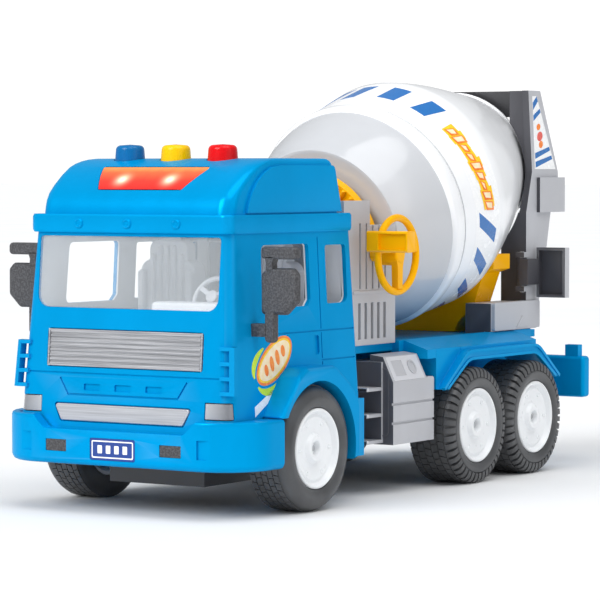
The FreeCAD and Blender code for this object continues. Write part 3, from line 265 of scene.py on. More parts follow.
def lamp_lens(name, low_z, high_z, glow_points, glow_reach):
    """The roof lens: red at the bottom, amber at the top, lit by the two lamps behind it."""
    made = Shader(name, 0.12, Coat_Weight=0.6, Coat_Roughness=0.05)
    height = made.math("DIVIDE", made.math("SUBTRACT", made.axis(2), low_z * MM), (high_z - low_z) * MM)
    ripple = made.math("MULTIPLY_ADD", made.noise(160, 3), 0.16, -0.08)
    tone = made.ramp(made.math("ADD", height, ripple), [
        (0.0, linear(206, 14, 6)), (0.4, linear(240, 40, 14)), (0.75, linear(250, 92, 34)),
        (1.0, linear(252, 150, 62))])
    glow = None
    for point in glow_points:
        away = made.node("ShaderNodeVectorMath", operation="DISTANCE")
        made.link(made.place, away.inputs[0])
        away.inputs[1].default_value = Vector(point) * MM
        near = made.math("POWER", made.math("MAXIMUM", made.math(
            "SUBTRACT", 1.0, made.math("DIVIDE", away.outputs["Value"], glow_reach * MM)), 0.0), 2.0)
        glow = made.math("MAXIMUM", glow, near) if glow else near
    made.color(tone)
    made.link(made.mix(glow, tone, (1.0, 0.86, 0.62, 1.0)), made.surface.inputs["Emission Color"])
    made.link(made.math("MULTIPLY_ADD", glow, 2.6, 0.22), made.surface.inputs["Emission Strength"])
    made.bump((made.noise(260, 2), 0.04))
    return made.material


def graded(name, low, high, low_x, high_x):
    """Silvered lamp plastic that darkens away from the truck's middle, on both sides alike."""
    made = Shader(name, 0.16, Metallic=0.35, Coat_Weight=0.7, Coat_Roughness=0.04)
    across = made.math("ABSOLUTE", made.axis(0))
    share = made.math("DIVIDE", made.math("SUBTRACT", across, low_x * MM), (high_x - low_x) * MM)
    haze = made.noise(240, 4, (1.0, 1.0, 4.0))
    made.color(made.ramp(made.math("MULTIPLY_ADD", haze, 0.1, share), [(0.0, low), (1.0, high)]))
    made.rough(haze, 0.12, 0.24)
    made.bump((haze, 0.02))
    return made.material


BODY_BLUE = moulded("body_blue", linear(0, 150, 212), 0.24, 0.05, wave=0.05, grain=0.006, wear=0.025,
                    Metallic=0.22, Specular_IOR_Level=0.04, Specular_Tint=(0.1, 0.75, 1.0, 1.0))
DEEP_GREY = speckled("matte_grey", linear(56, 56, 59), linear(84, 84, 87), 0.55, 0.06)
DARK_PLASTIC = moulded("dark_plastic", linear(58, 58, 61), 0.42, 0.08, grain=0.03)
MID_GREY = moulded("stack_grey", linear(184, 185, 190), 0.34, 0.07, grain=0.02)
# Painted shade: a dark grey for the tool boxes' front faces, in place of the cab's shadow on them.
PAINTED_SOFT_SHADE = moulded("painted_soft_shade", linear(84, 84, 90), 0.45, 0.07, grain=0.02)
# Painted shade: the darkest grey, laid where shade falls: lamp gaps, stack slots, the towers' front and inner
# faces and the chute's dish.
PAINTED_DEEP_SHADE = moulded("painted_deep_shade", linear(66, 66, 72), 0.5, 0.06, grain=0.02)
PALE_GREY = moulded("pale_grey", linear(206, 207, 212), 0.35, 0.06)
INNER_WHITE = moulded("inner_white", linear(236, 238, 242), 0.38, 0.08, mottle=0.02)
SEAT_WHITE = moulded("seat_white", linear(222, 225, 231), 0.42, 0.08, mottle=0.03, grain=0.03)
RIM_WHITE = moulded("rim_white", linear(242, 244, 246), 0.3, 0.08, mottle=0.02)
DRUM_WHITE = moulded("drum_white", linear(246, 247, 249), 0.2, 0.05, mottle=0.015, wave=0.05, Coat_Weight=0.3)
# Painted shade: a grey darker than the drum's white, for the shading on the drum's front cone.
CONE_SHADE_GREY = moulded("drum_cone", linear(198, 200, 204), 0.17, 0.05, mottle=0.02, wave=0.06, Coat_Weight=0.35)
YELLOW = moulded("gear_yellow", linear(255, 182, 0), 0.26, 0.05, wear=0.06, Specular_IOR_Level=0.2,
                 Specular_Tint=(1.0, 0.8, 0.2, 1.0), Subsurface_Weight=0.06, Subsurface_Scale=0.002)
TYRE = rubber("tyre_rubber")
SILVER = silvered("grille_silver", linear(140, 141, 145), linear(192, 193, 197))
INTAKE_SILVER = silvered("intake_silver", linear(170, 171, 175), linear(198, 199, 203))
LAMP_SILVER = graded("lamp_silver", linear(206, 208, 212), linear(132, 133, 138), 46, 61)
CLEAR = clear_film("clear_screen", (0.9, 0.95, 0.97, 1.0), 0.16)
BRIGHT_STEEL = steel("bright_steel", linear(150, 152, 156), linear(200, 202, 205))
IRON = steel("flywheel_iron", linear(92, 93, 96), linear(128, 129, 132), 0.45)
BOARD = circuit("circuit_board")
PAD = speckled("pad_rubber", linear(150, 150, 152), linear(172, 172, 174), 0.6, 0.03)
SPEAKER_BLACK = speckled("speaker_black", linear(28, 28, 30), linear(46, 46, 48), 0.55, 0.05)
BUTTONS = {
    "blue": moulded("button_blue", linear(0, 104, 164), 0.24, 0.05, wear=0.05, Specular_IOR_Level=0.25),
    "yellow": moulded("button_yellow", linear(255, 196, 0), 0.24, 0.05, wear=0.05, Specular_IOR_Level=0.25),
    "red": moulded("button_red", linear(226, 6, 16), 0.24, 0.05, wear=0.05, Specular_IOR_Level=0.25),
}
PRINT_BLUE = printed("print_blue", linear(0, 104, 178))
PRINT_WHITE = printed("print_white", linear(246, 247, 248))
PRINT_LIME = printed("print_lime", linear(196, 226, 20))
PRINT_YELLOW = printed("print_yellow", linear(255, 214, 20), linear(255, 196, 10))
PRINT_ORANGE = printed("print_orange", linear(246, 120, 22), linear(250, 148, 40), 320)
PRINT_CREAM = printed("print_cream", linear(252, 226, 176), linear(255, 240, 208), 300)
PRINT_RED = printed("print_red", linear(226, 74, 66), linear(236, 110, 96), 500)
PLATE_BLUE = printed("plate_blue", linear(8, 56, 138))


# ---------------------------------------------------------------- forms (closed bmesh shapes, in millimetres)
def ring_solid(rings, caps=True):
    """A closed form through rings of points, all with the same number of points."""
    form = bmesh.new()
    rows = [[form.verts.new(point) for point in ring] for ring in rings]
    count = len(rows[0])
    for low, high in zip(rows, rows[1:]):
        for index in range(count):
            after = (index + 1) % count
            form.faces.new((low[index], low[after], high[after], high[index]))
    if caps:
        form.faces.new(rows[0][::-1])
        form.faces.new(rows[-1])
    bmesh.ops.remove_doubles(form, verts=form.verts, dist=1e-4)
    bmesh.ops.recalc_face_normals(form, faces=form.faces)
    return form


def prism(outline, low, high, axis):
    """An outline pushed along an axis; its two coordinates are the other two axes, in order."""
    spot = {
        "x": lambda a, b, depth: Vector((depth, a, b)),
        "y": lambda a, b, depth: Vector((a, depth, b)),
        "z": lambda a, b, depth: Vector((a, b, depth)),
    }[axis]
    return ring_solid([[spot(a, b, depth) for a, b in outline] for depth in (low, high)])


def rectangle(low_a, high_a, low_b, high_b):
    return [(low_a, low_b), (high_a, low_b), (high_a, high_b), (low_a, high_b)]


def tube_section(radius, tube, steps):
    """The round section of a ring's tube, as a profile for the lathe."""
    turns = [2 * math.pi * step / steps for step in range(steps)]
    return [(tube * math.cos(turn), radius + tube * math.sin(turn)) for turn in turns]


def sheet_solid(skins):
    """A closed form between two skins, each a grid of points in rows."""
    form = bmesh.new()
    grids = [[[form.verts.new(point) for point in row] for row in skin] for skin in skins]
    for rows in grids:
        for low, high in zip(rows, rows[1:]):
            for index in range(len(low) - 1):
                form.faces.new((low[index], low[index + 1], high[index + 1], high[index]))
    inner, outer = [rows[0] + [row[-1] for row in rows[1:-1]] + rows[-1][::-1]
                    + [row[0] for row in rows[-2:0:-1]] for rows in grids]
    for index in range(len(inner)):
        after = (index + 1) % len(inner)
        form.faces.new((inner[index], inner[after], outer[after], outer[index]))
    bmesh.ops.recalc_face_normals(form, faces=form.faces)
    return form


def tile(low_x, high_x, low_z, high_z, soft, front, back):
    """A rounded rectangle as seen from the front, pushed along Y."""
    return prism(rounded(rectangle(low_x, high_x, low_z, high_z), soft), front, back, "y")


def slab(low, high):
    """A box between two corners, as a form to carve with or to round off."""
    return prism(rectangle(low[0], high[0], low[1], high[1]), low[2], high[2], "z")


def rounded(outline, radius, steps=5):
    """The outline with its corners turned into arcs; radius is one number, or one for each corner."""
    radii = radius if isinstance(radius, (list, tuple)) else [radius] * len(outline)
    result = []
    for index, (spot, size) in enumerate(zip(outline, radii)):
        corner = Vector(spot)
        before = Vector(outline[index - 1]) - corner
        after = Vector(outline[(index + 1) % len(outline)]) - corner
        if size <= 0:
            result.append(tuple(corner))
            continue
        half = before.angle(after) / 2
        reach = min(size / math.tan(half), 0.49 * before.length, 0.49 * after.length)
        centre = corner + (before.normalized() + after.normalized()).normalized() * (reach / math.cos(half))
        first = corner + before.normalized() * reach - centre
        last = corner + after.normalized() * reach - centre
        for step in range(steps + 1):
            result.append(tuple(centre + first.slerp(last, step / steps).normalized() * first.length))
    return result


def lathe(profile, place=Matrix(), segments=96, loop=False):
    """A profile of (along, radius) turned about X and moved by place; loop closes it on itself."""
    angles = [2 * math.pi * index / segments for index in range(segments)]
    stations = list(profile) + ([profile[0]] if loop else [])
    rings = [[place @ Vector((along, radius * math.cos(angle), radius * math.sin(angle))) for angle in angles]
             for along, radius in stations]
    return ring_solid(rings, caps=False)


def merged(*forms):
    """All the forms in one, each closed on its own."""
    whole = bmesh.new()
    for form in forms:
        mesh = bpy.data.meshes.new("part")
        form.to_mesh(mesh)
        whole.from_mesh(mesh)
        bpy.data.meshes.remove(mesh)
        form.free()
    return whole


def painted(form, finish):
    """Give every face of the form the finish with this number in the piece's list."""
    for face in form.faces:
        face.material_index = finish
    return form


def moved(form, place):
    form.transform(place)
    return form


def mirrored(form):
    """A copy of the form on the truck's other side."""
    twin = form.copy()
    twin.transform(Matrix.Scale(-1, 4, (1, 0, 0)))
    bmesh.ops.reverse_faces(twin, faces=twin.faces)
    return twin


def x_range(side, inner, outer):
    """The stretch of X between two distances from the middle plane, on one side of the truck."""
    return sorted((side * inner, side * outer))


def both_sides(make):
    """The forms that make(side) gives for side 1 (left) and -1 (right), in one."""
    return merged(make(1), make(-1))


def holder(form, name):
    mesh = bpy.data.meshes.new(name)
    form.to_mesh(mesh)
    form.free()
    thing = bpy.data.objects.new(name, mesh)
    bpy.context.scene.collection.objects.link(thing)
    return thing


def settled(thing):
    """The object's mesh with its modifiers applied."""
    graph = bpy.context.evaluated_depsgraph_get()
    graph.update()
    return bpy.data.meshes.new_from_object(thing.evaluated_get(graph))


def carved(base, cutters, operation="DIFFERENCE"):
    """The base with the cutters taken away, added or kept in common."""
    thing = holder(base, "base")
    tool = holder(merged(*cutters), "tool")
    change = thing.modifiers.new("carve", "BOOLEAN")
    change.object = tool
    change.operation = operation
    change.solver = "EXACT"
    change.use_self = len(cutters) > 1
    mesh = settled(thing)
    result = bmesh.new()
    result.from_mesh(mesh)
    bpy.data.meshes.remove(mesh)
    for leftover in (thing, tool):
        old = leftover.data
        bpy.data.objects.remove(leftover)
        bpy.data.meshes.remove(old)
    return result


def cad_form(node):
    """A copy of a CAD node's shape with whole flat faces, ready for carving and rounding."""
    form = bmesh.new()
    form.from_mesh(NODES[node].data)
    form.transform(Matrix.Scale(1 / MM, 4))
    bmesh.ops.remove_doubles(form, verts=form.verts, dist=0.002)
    bmesh.ops.dissolve_limit(form, angle_limit=math.radians(0.6), verts=form.verts, edges=form.edges)
    return painted(form, 0)


def piece(name, form, finishes, node, bevel=0.4, steps=2):
    """Turn a form into a finished object that rides on the body of the node it replaces."""
    bmesh.ops.dissolve_degenerate(form, dist=1e-3, edges=form.edges)
    bmesh.ops.recalc_face_normals(form, faces=form.faces)
    form.transform(Matrix.Scale(MM, 4))
    thing = holder(form, name)
    for finish in finishes if isinstance(finishes, (list, tuple)) else [finishes]:
        thing.data.materials.append(finish)
    if bevel:
        edges = thing.modifiers.new("edges", "BEVEL")
        edges.width = bevel * MM
        edges.segments = steps
        edges.limit_method = "ANGLE"
        edges.angle_limit = math.radians(SHARP)
        edges.use_clamp_overlap = True
        edges.miter_outer = "MITER_ARC"
        thing.data = settled(thing)
        thing.modifiers.clear()
    thing.data.polygons.foreach_set("use_smooth", [True] * len(thing.data.polygons))
    thing.data.set_sharp_from_angle(angle=math.radians(SHARP + 8))
    weighted = thing.modifiers.new("flat_faces", "WEIGHTED_NORMAL")
    weighted.keep_sharp = True
    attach(thing, BODY_OF[node])
    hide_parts(node)


def refinish(node, finish):
    """Keep a CAD node's shape and give it a finish."""
    mesh = NODES[node].data
    mesh.materials.clear()
    mesh.materials.append(finish)
    mesh.polygons.foreach_set("material_index", [0] * len(mesh.polygons))


# ---------------------------------------------------------------- the cab's walls
cab_low, cab_high = box("cab_shell")
CAB_BASE = cab_low.z + 8
CAB_TALL = cab_high.z - CAB_BASE
CAB_HALF = cab_high.x
SIDE_LEAN = 5.4
FRONT_LEAN = 8.0
BACK_LEAN = 3.0
CAB_BACK = -54.5
GUARD_BACK = min(cab_high.y, -54.8)
CAB_WALL = 2.0
axle_low, axle_high = box("front_axle")
FRONT_AXLE = (axle_low + axle_high) / 2
WHEEL_RADIUS = FRONT_AXLE.z


def cab_half(z):
    """Half width of the cab's outside at height z."""
    return CAB_HALF - SIDE_LEAN * (z - CAB_BASE) / CAB_TALL


def cab_front(z):
    return cab_low.y + FRONT_LEAN * (z - CAB_BASE) / CAB_TALL


def cab_back(z):
    return CAB_BACK - BACK_LEAN * (z - CAB_BASE) / CAB_TALL


def plan(half, front, back, front_round, back_round, z):
    """A ring round the truck's middle plane at height z, with rounded corners."""
    outline = rounded(rectangle(-half, half, front, back), [front_round, front_round, back_round,
                                                            back_round], 7)
    return [Vector((x, y, z)) for x, y in outline]


def cab_ring(z, inset=0.0):
    return plan(cab_half(z) - inset, cab_front(z) + inset, cab_back(z) - inset, 6.2 - inset, 4.5 - inset, z)


def on_side(outline, depth, proud, side=1):
    """A pad on the cab's side wall, from depth inside it to proud outside it; outline is (y, z)."""
    return ring_solid([[Vector((side * (cab_half(z) + out), y, z)) for y, z in outline] for out in (-depth,
                                                                                                    proud)])


def on_front(outline, depth, proud):
    """The same on the cab's front wall; outline is (x, z)."""
    return ring_solid([[Vector((x, cab_front(z) - out, z)) for x, z in outline] for out in (-depth, proud)])


def strip_line(points, wide):
    """An open run of points as a closed band of the given width."""
    offsets = []
    for index, spot in enumerate(points):
        before = Vector(points[max(index - 1, 0)])
        after = Vector(points[min(index + 1, len(points) - 1)])
        here = Vector(spot)
        first = (here - before).normalized() if index else (after - here).normalized()
        second = (after - here).normalized() if index < len(points) - 1 else first
        along = (first + second).normalized()
        side = Vector((-along.y, along.x)) * (wide / 2) / max(0.4, along.dot(first))
        offsets.append((here + side, here - side))
    return [tuple(a) for a, b in offsets] + [tuple(b) for a, b in reversed(offsets)]


WHEEL_GAP = 2.0
FLARE_OUT = 72.0
LAMP_INNER = 46.8


def wheel_space(radius, half):
    """A drum-shaped space round both front wheels."""
    axle = Matrix.Translation((0, FRONT_AXLE.y, FRONT_AXLE.z))
    return lathe([(-half, 0), (-half, radius), (half, radius), (half, 0)], axle, 120)


GLASS_LOW, GLASS_HIGH = box("windshield")
GRILLE_LOW, GRILLE_HIGH = box("grille_panel")
INTAKE_LOW, INTAKE_HIGH = box("intake_panel")
LAMP_LOW, LAMP_HIGH = box("headlights")
DOOR_WINDOW = rounded([(-139.5, 96.5), (-100.5, 96.5), (-97.5, 99.5), (-97.5, 126), (-138.2, 126)],
                      [3, 1, 1, 2, 3])
QUARTER_WINDOW = rounded(rectangle(-82.9, -64.5, 97, 125), [1.2, 4, 1.6, 1.6])
BACK_WINDOW = rounded(rectangle(-38, 38, 98, 125), 3)
# planes clear of the cab, ahead of it and beside it, for cutters that go right through
AHEAD = -180.0
ASIDE = 80.0


def glass_outline(grow):
    """The windscreen's outline (x, z) on the cab's front, grown by some millimetres."""
    half = GLASS_HIGH.x + grow
    return rounded(rectangle(-half, half, GLASS_LOW.z - grow, GLASS_HIGH.z + grow), [6, 6, 1.5, 1.5])


def grille_outline(grow):
    return rounded(rectangle(GRILLE_LOW.x - grow, GRILLE_HIGH.x + grow, GRILLE_LOW.z - grow,
                             GRILLE_HIGH.z + grow), 1.6)


def intake_outline(grow):
    foot = INTAKE_HIGH.x - 4.3 + grow
    top = INTAKE_HIGH.x + grow
    return rounded([(-foot, INTAKE_LOW.z - grow), (foot, INTAKE_LOW.z - grow), (top, INTAKE_HIGH.z + grow),
                    (-top, INTAKE_HIGH.z + grow)], 1.2)


def window_holes(grow=0.0):
    """Cutters for the windscreen, which may be grown, the door and quarter windows and the back window."""
    return [on_front(glass_outline(grow), 12, 9), prism(DOOR_WINDOW, -ASIDE, ASIDE, "x"),
            prism(QUARTER_WINDOW, -ASIDE, ASIDE, "x"), prism(BACK_WINDOW, -70, -50, "y")]


def build_cab_body():
    """The cab's shell with its windows, recesses and panel lines."""
    outer = ring_solid([cab_ring(CAB_BASE), cab_ring(cab_high.z)])

    def guard(side):
        low, high = x_range(side, CAB_HALF - 16, CAB_HALF)
        return slab((low, FRONT_AXLE.y + 30.5, cab_low.z), (high, GUARD_BACK, CAB_BASE + 20))

    solid = carved(outer, [guard(1), guard(-1)], "UNION")
    inside = ring_solid([cab_ring(cab_low.z - 1, CAB_WALL), cab_ring(cab_high.z + 1, CAB_WALL)])
    shell = carved(solid, [inside])
    arch = wheel_space(WHEEL_RADIUS + WHEEL_GAP + 0.6, CAB_HALF + 9)
    below = slab((-CAB_HALF - 9, FRONT_AXLE.y - 34, -1), (CAB_HALF + 9, FRONT_AXLE.y + 31, FRONT_AXLE.z))
    tunnel = slab((-50.5, -60, 0), (50.5, -45, box("chassis_deck")[1].z))
    shell = carved(carved(shell, [arch]), [below, tunnel])
    holes = window_holes() + [on_front(grille_outline(0.35), 1.5, 6), on_front(intake_outline(0.5), 1.4, 6)]
    for side in (1, -1):
        low, high = x_range(side, LAMP_INNER, 70)
        holes.append(slab((low, AHEAD, LAMP_LOW.z - 0.4), (high, LAMP_HIGH.y + 0.4, LAMP_HIGH.z + 0.4)))
    return carved(carved(shell, holes), panel_lines())


def panel_lines():
    """Thin grooves: the step under the grille, the chevron, the door's edges and the handle pocket."""
    deep, wide = 0.55, 0.7
    lines = [on_front(strip_line([(-58, 65.4), (58, 65.4)], wide), deep, 3)]
    lines.append(on_front(strip_line([(-36.5, 63.2), (-31.5, 55.4), (31.5, 55.4), (36.5, 63.2)], 0.9), 0.8,
                          3))
    for x in (-17.8, 0, 17.8):
        lines.append(on_front(rounded(rectangle(x - 4.7, x + 4.7, 57.4, 60.6), 0.5), 1.0, 3))
    door_edge = -89.4
    runs = [[(-141.5, 84.4), (-60, 84.4)], [(-90, 70.4), (-60, 70.4)]]
    runs += [[(door_edge, low), (door_edge, high)] for low, high in ((48, 69.6), (71.2, 83.6), (85.2, 129))]
    for side in (1, -1):
        lines += [on_side(strip_line(run, wide), deep, 3, side) for run in runs]
        lines.append(on_side(rounded(rectangle(-95.8, -91.6, 73.2, 82.2), 1), 1.0, 3, side))
    return lines


def arch_flares():
    """The broad flare round each front wheel: a circle inside, a blunt outline outside, a bevelled face.

    The outline is (y, z) from the axle.  Its foot stays level with the bumper's top where the face narrows.
    """
    foot = 16.3
    outline = rounded([(-33.4, foot), (-17.2, 34.8), (-10.5, 38.6), (14.5, 38.6), (27.0, 30.2), (35.6, 22.0),
                       (36.6, 17.0), (36.6, -6.0), (30.5, -7.6), (0, 0), (-27.5, foot)],
                      [0.6, 7, 6, 9, 7, 3, 4, 3, 0, 0, 0], 6)

    def flare(side):
        rows = []
        for out, share in ((59.0, 1.0), (70.0, 1.0), (71.3, 0.985), (FLARE_OUT, 0.955)):
            ring = []
            for y, z in outline:
                rise = max(z * share, foot) if y < 0 and z > 8 else z * share
                ring.append(Vector((side * out, FRONT_AXLE.y + y * share, FRONT_AXLE.z + rise)))
            rows.append(ring)
        return carved(ring_solid(rows), [wheel_space(WHEEL_RADIUS + WHEEL_GAP, 80)])
    return both_sides(flare)


def air_guides():
    """Ladder-like air guides that wrap both front corners: an upright and four rungs."""
    low_z, high_z, rungs = 58.0, 80.2, 4

    def guide(side):
        upright = []
        for z in (low_z, high_z):
            half, front = cab_half(z), cab_front(z)
            upright.append([Vector((side * x, y, z)) for x, y in (
                (half + 0.4, front - 1.3), (half + 2.8, front - 0.6), (half + 2.8, front + 2.6),
                                                                  (half + 0.4, front + 3.2))])
        parts = [ring_solid(upright)]
        for rung in range(rungs):
            z = low_z + (high_z - low_z - 1.8) * rung / (rungs - 1)
            half, front = cab_half(z), cab_front(z)
            outline = [(side * x, y) for x, y in (
                (half - 5.4, front + 0.6), (half - 5.0, front - 1.2), (half + 0.6, front - 1.2),
                                                  (half + 2.5, front - 0.4),
                (half + 2.5, front + 2.4), (half - 2.5, front + 3.4))]
            parts.append(prism(outline, z, z + 1.8, "z"))
        return merged(*parts)
    return both_sides(guide)


def build_cab():
    form = build_cab_body()
    form = merged(form, arch_flares(), air_guides())
    piece("cab_body", form, BODY_BLUE, "cab_shell", 0.45)

    glass = on_front(glass_outline(-0.12), 1.7, -0.3)
    piece("wind_screen", glass, CLEAR, "windshield", 0.25)

    panel = on_front(grille_outline(-0.1), 1.4, -0.4)
    ribs, count = [], 8
    for index in range(count):
        z = GRILLE_LOW.z + (index + 0.5) * (GRILLE_HIGH.z - GRILLE_LOW.z) / count
        ribs.append(on_front(rectangle(GRILLE_LOW.x + 1.3, GRILLE_HIGH.x - 1.3, z - 0.55, z + 0.55), 1.0,
                             0.35))
    rim = strip_line([(GRILLE_LOW.x + 0.6, GRILLE_LOW.z + 0.5), (GRILLE_HIGH.x - 0.6, GRILLE_LOW.z + 0.5)],
                     0.8)
    top = [(x, z + GRILLE_HIGH.z - GRILLE_LOW.z - 1.0) for x, z in rim]
    frame_bars = [on_front(rim, 1.0, 0.45), on_front(top, 1.0, 0.45)]
    for side in (1, -1):
        x = side * (GRILLE_HIGH.x - 0.6)
        frame_bars.append(on_front(rectangle(x - 0.45, x + 0.45, GRILLE_LOW.z, GRILLE_HIGH.z), 1.0, 0.45))
    piece("grille_bars", merged(panel, *ribs, *frame_bars), SILVER, "grille_panel", 0.22)

    piece("intake_bar", on_front(intake_outline(-0.1), 1.4, 0.35), INTAKE_SILVER, "intake_panel", 0.5, 3)

    def lamp(side):
        parts = []
        # The second skin, in the darkest grey, fills the gap round each lamp as painted shade.
        for finish, inner, tall, outer_inset, inner_inset, grow, back in (
                (0, LAMP_INNER + 0.4, 0.0, 0.2, 1.9, -0.1, 0.0), (1, LAMP_INNER, 0.4, 1.2, 2.6, 0.3, 0.3)):
            skin = ring_solid([cab_ring(LAMP_LOW.z - tall, outer_inset),
                               cab_ring(LAMP_HIGH.z + tall, outer_inset)])
            inside = ring_solid([cab_ring(LAMP_LOW.z - 1, inner_inset),
                                 cab_ring(LAMP_HIGH.z + 1, inner_inset)])
            low, high = x_range(side, inner, 70)
            window = slab((low, AHEAD, LAMP_LOW.z - grow), (high, LAMP_HIGH.y + back, LAMP_HIGH.z + grow))
            parts.append(painted(carved(carved(skin, [inside]), [window], "INTERSECT"), finish))
        return merged(*parts)

    piece("head_lamps", both_sides(lamp), [LAMP_SILVER, PAINTED_DEEP_SHADE], "headlights", 0.35)


# ---------------------------------------------------------------- roof, lens and buttons
roof_low, roof_high = box("cab_roof")
VISOR_TOP = 140.2
ROOF_FOOT = 139.4
ROOF_SHOULDER = 163.2
ROOF_BACK = -70.0
ROOF_TOP = roof_high.z
ROOF_FRONT = [(ROOF_FOOT, -161.2), (143.0, -160.6), (146.5, -159.6), (150.0, -157.6), (154.0, -153.4),
              (158.5, -147.6), (162.3, -141.4), (164.6, -135.4), (165.9, -129.6), (166.5, -123.0)]


def front_at(z):
    """How far forward the roof reaches at height z."""
    for (low_z, low_y), (high_z, high_y) in zip(ROOF_FRONT, ROOF_FRONT[1:]):
        if z <= high_z:
            return low_y + (high_y - low_y) * (z - low_z) / (high_z - low_z)
    return ROOF_FRONT[-1][1]


def button_axis(x):
    """A matrix that stands the lathe's axis upright in a button's middle."""
    return Matrix.Translation((x, BUTTON_Y, 0)) @ Matrix.Rotation(-math.pi / 2, 4, "Y")


def build_roof():
    """The roof with its visor band, side panels and marker studs, and the lens let into it."""
    half = roof_high.x - 3.2
    back_low = roof_high.y - 7

    def roof_ring(z, inset=0.0):
        share = max(0.0, (z - ROOF_SHOULDER) / (ROOF_TOP - ROOF_SHOULDER))
        shrink = 3.0 * (1 - math.sqrt(max(0.0, 1 - share * share)))
        back = back_low + (ROOF_BACK - back_low) * (z - ROOF_FOOT) / (ROOF_TOP - ROOF_FOOT)
        return plan(half - shrink - inset, front_at(z) + inset, back - 0.8 * shrink - inset, 6.5 - inset,
                    5 - inset, z - inset)

    heights = [ROOF_FOOT, 143, 146.5, 150, 154, 158.5, 162.3, 164.0, 165.2, 166.0, 166.4, 166.5]
    outer = ring_solid([roof_ring(z) for z in heights])
    inner = ring_solid([plan(half - 2, front_at(ROOF_FOOT) + 2, back_low - 2, 4.5, 3, 131)]
                       + [roof_ring(z, 2.0) for z in heights])
    band_rows = []
    for z, inset in ((roof_low.z, 0.5), (roof_low.z + 1.2, 0.0), (VISOR_TOP - 1.2, 0.0), (VISOR_TOP, 0.5)):
        band_rows.append(plan(roof_high.x - inset, roof_low.y + 0.6 + inset, roof_high.y - inset, 5, 4, z))
    whole = carved(ring_solid(band_rows), [outer], "UNION")
    lens_hole = prism(rounded([(-24, 151.5), (24, 151.5), (31.5, 162.5), (-31.5, 162.5)], 1.0), -165, -138,
                      "y")
    holes = [lathe([(150, 0), (150, 7.75), (170, 7.75), (170, 0)], button_axis(x),
                   48) for x in BUTTON_X.values()]
    shell = carved(carved(whole, [inner]), [lens_hole] + holes)

    arc_front = [(-147.8, 141.0), (-146.4, 145.6), (-143.6, 150.6), (-139.4, 155.4), (-134.0, 159.4),
                 (-127.5, 162.2), (-119, 163.2)]
    panel = arc_front + rounded([(-119, 163.2), (ROOF_BACK - 2.2, 163.2), (back_low - 1.6, 141.0)],
                                [0, 3, 0], 5)[1:]

    def side_panel(side):
        return prism(panel, *x_range(side, half - 1.5, half + 1.4), "x")

    markers = [lathe([(-0.6, 0), (-0.6, 1.0), (-1.1, 1.5), (-1.1, 1.9), (-0.6, 2.4), (1.5, 2.4), (1.5, 0)],
                     Matrix.Translation((x, roof_low.y + 0.9, (roof_low.z + VISOR_TOP) / 2))
                     @ Matrix.Rotation(math.pi / 2, 4, "Z"), 32) for x in (-28, 0, 28)]
    piece("roof_cap", merged(shell, both_sides(side_panel), *markers), BODY_BLUE, "cab_roof", 0.7, 3)

    rows = []
    for z in (151.8, 153.5, 155.5, 158.0, 160.5, 162.2):
        reach = 23.7 + (z - 151.5) * 7.5 / 11
        rows.append([(reach * (2 * step / 12 - 1), front_at(z), z) for step in range(13)])
    lens = sheet_solid([[[(x, y + inward, z) for x, y, z in row] for row in rows] for inward in (0.15, 1.6)])
    glow = [(x, front_at(156.5), 156.5) for x in (-13.7, 13.7)]
    piece("lens_cover", lens, lamp_lens("lens_amber", 151.5, 162.5, glow, 9), "roof_lens", 0.3)


BUTTON_X = {}
for colour in BUTTONS:
    button_low, button_high = box("button_" + colour)
    BUTTON_X[colour] = (button_low.x + button_high.x) / 2
    BUTTON_Y = (button_low.y + button_high.y) / 2
    BUTTON_LOW, BUTTON_TOP = button_low.z, button_high.z


def build_buttons():
    """Three domed push buttons with a flange under the roof."""
    for colour, x in BUTTON_X.items():
        profile = [(BUTTON_LOW, 0), (BUTTON_LOW, 2.4), (BUTTON_LOW + 2, 2.4), (BUTTON_LOW + 2, 8.2),
                   (BUTTON_LOW + 3.2, 8.2), (BUTTON_LOW + 3.2, 7.4)]
        crown = 2.4
        for step in range(7):
            turn = math.radians(90 * step / 6)
            profile.append((BUTTON_TOP - 0.35 - crown + crown * math.sin(turn),
                            6.9 - crown + crown * math.cos(turn)))
        profile.append((BUTTON_TOP, 0))
        piece("push_button_" + colour, lathe(profile, button_axis(x), 64), BUTTONS[colour],
              "button_" + colour, 0)


# ---------------------------------------------------------------- inside the cab
def cushion(low, high, soft):
    """A rounded upholstery-like block between two corners; soft is its corner radius, seen from the front."""
    outline = rounded(rectangle(low[0], high[0], low[2], high[2]), soft, 6)
    rows = []
    for depth, inset in ((low[1], 1.2), (low[1] + 0.6, 0.35), (low[1] + 1.8, 0.0), (high[1] - 1.2, 0.0),
                         (high[1], 0.8)):
        middle = Vector(((low[0] + high[0]) / 2, (low[2] + high[2]) / 2))
        size = Vector((high[0] - low[0], high[2] - low[2])) / 2
        ring = []
        for x, z in outline:
            offset = Vector((x, z)) - middle
            scale = Vector((1 - inset / size.x, 1 - inset / size.y))
            ring.append(Vector((middle.x + offset.x * scale.x, depth, middle.y + offset.y * scale.y)))
        rows.append(ring)
    return ring_solid(rows)


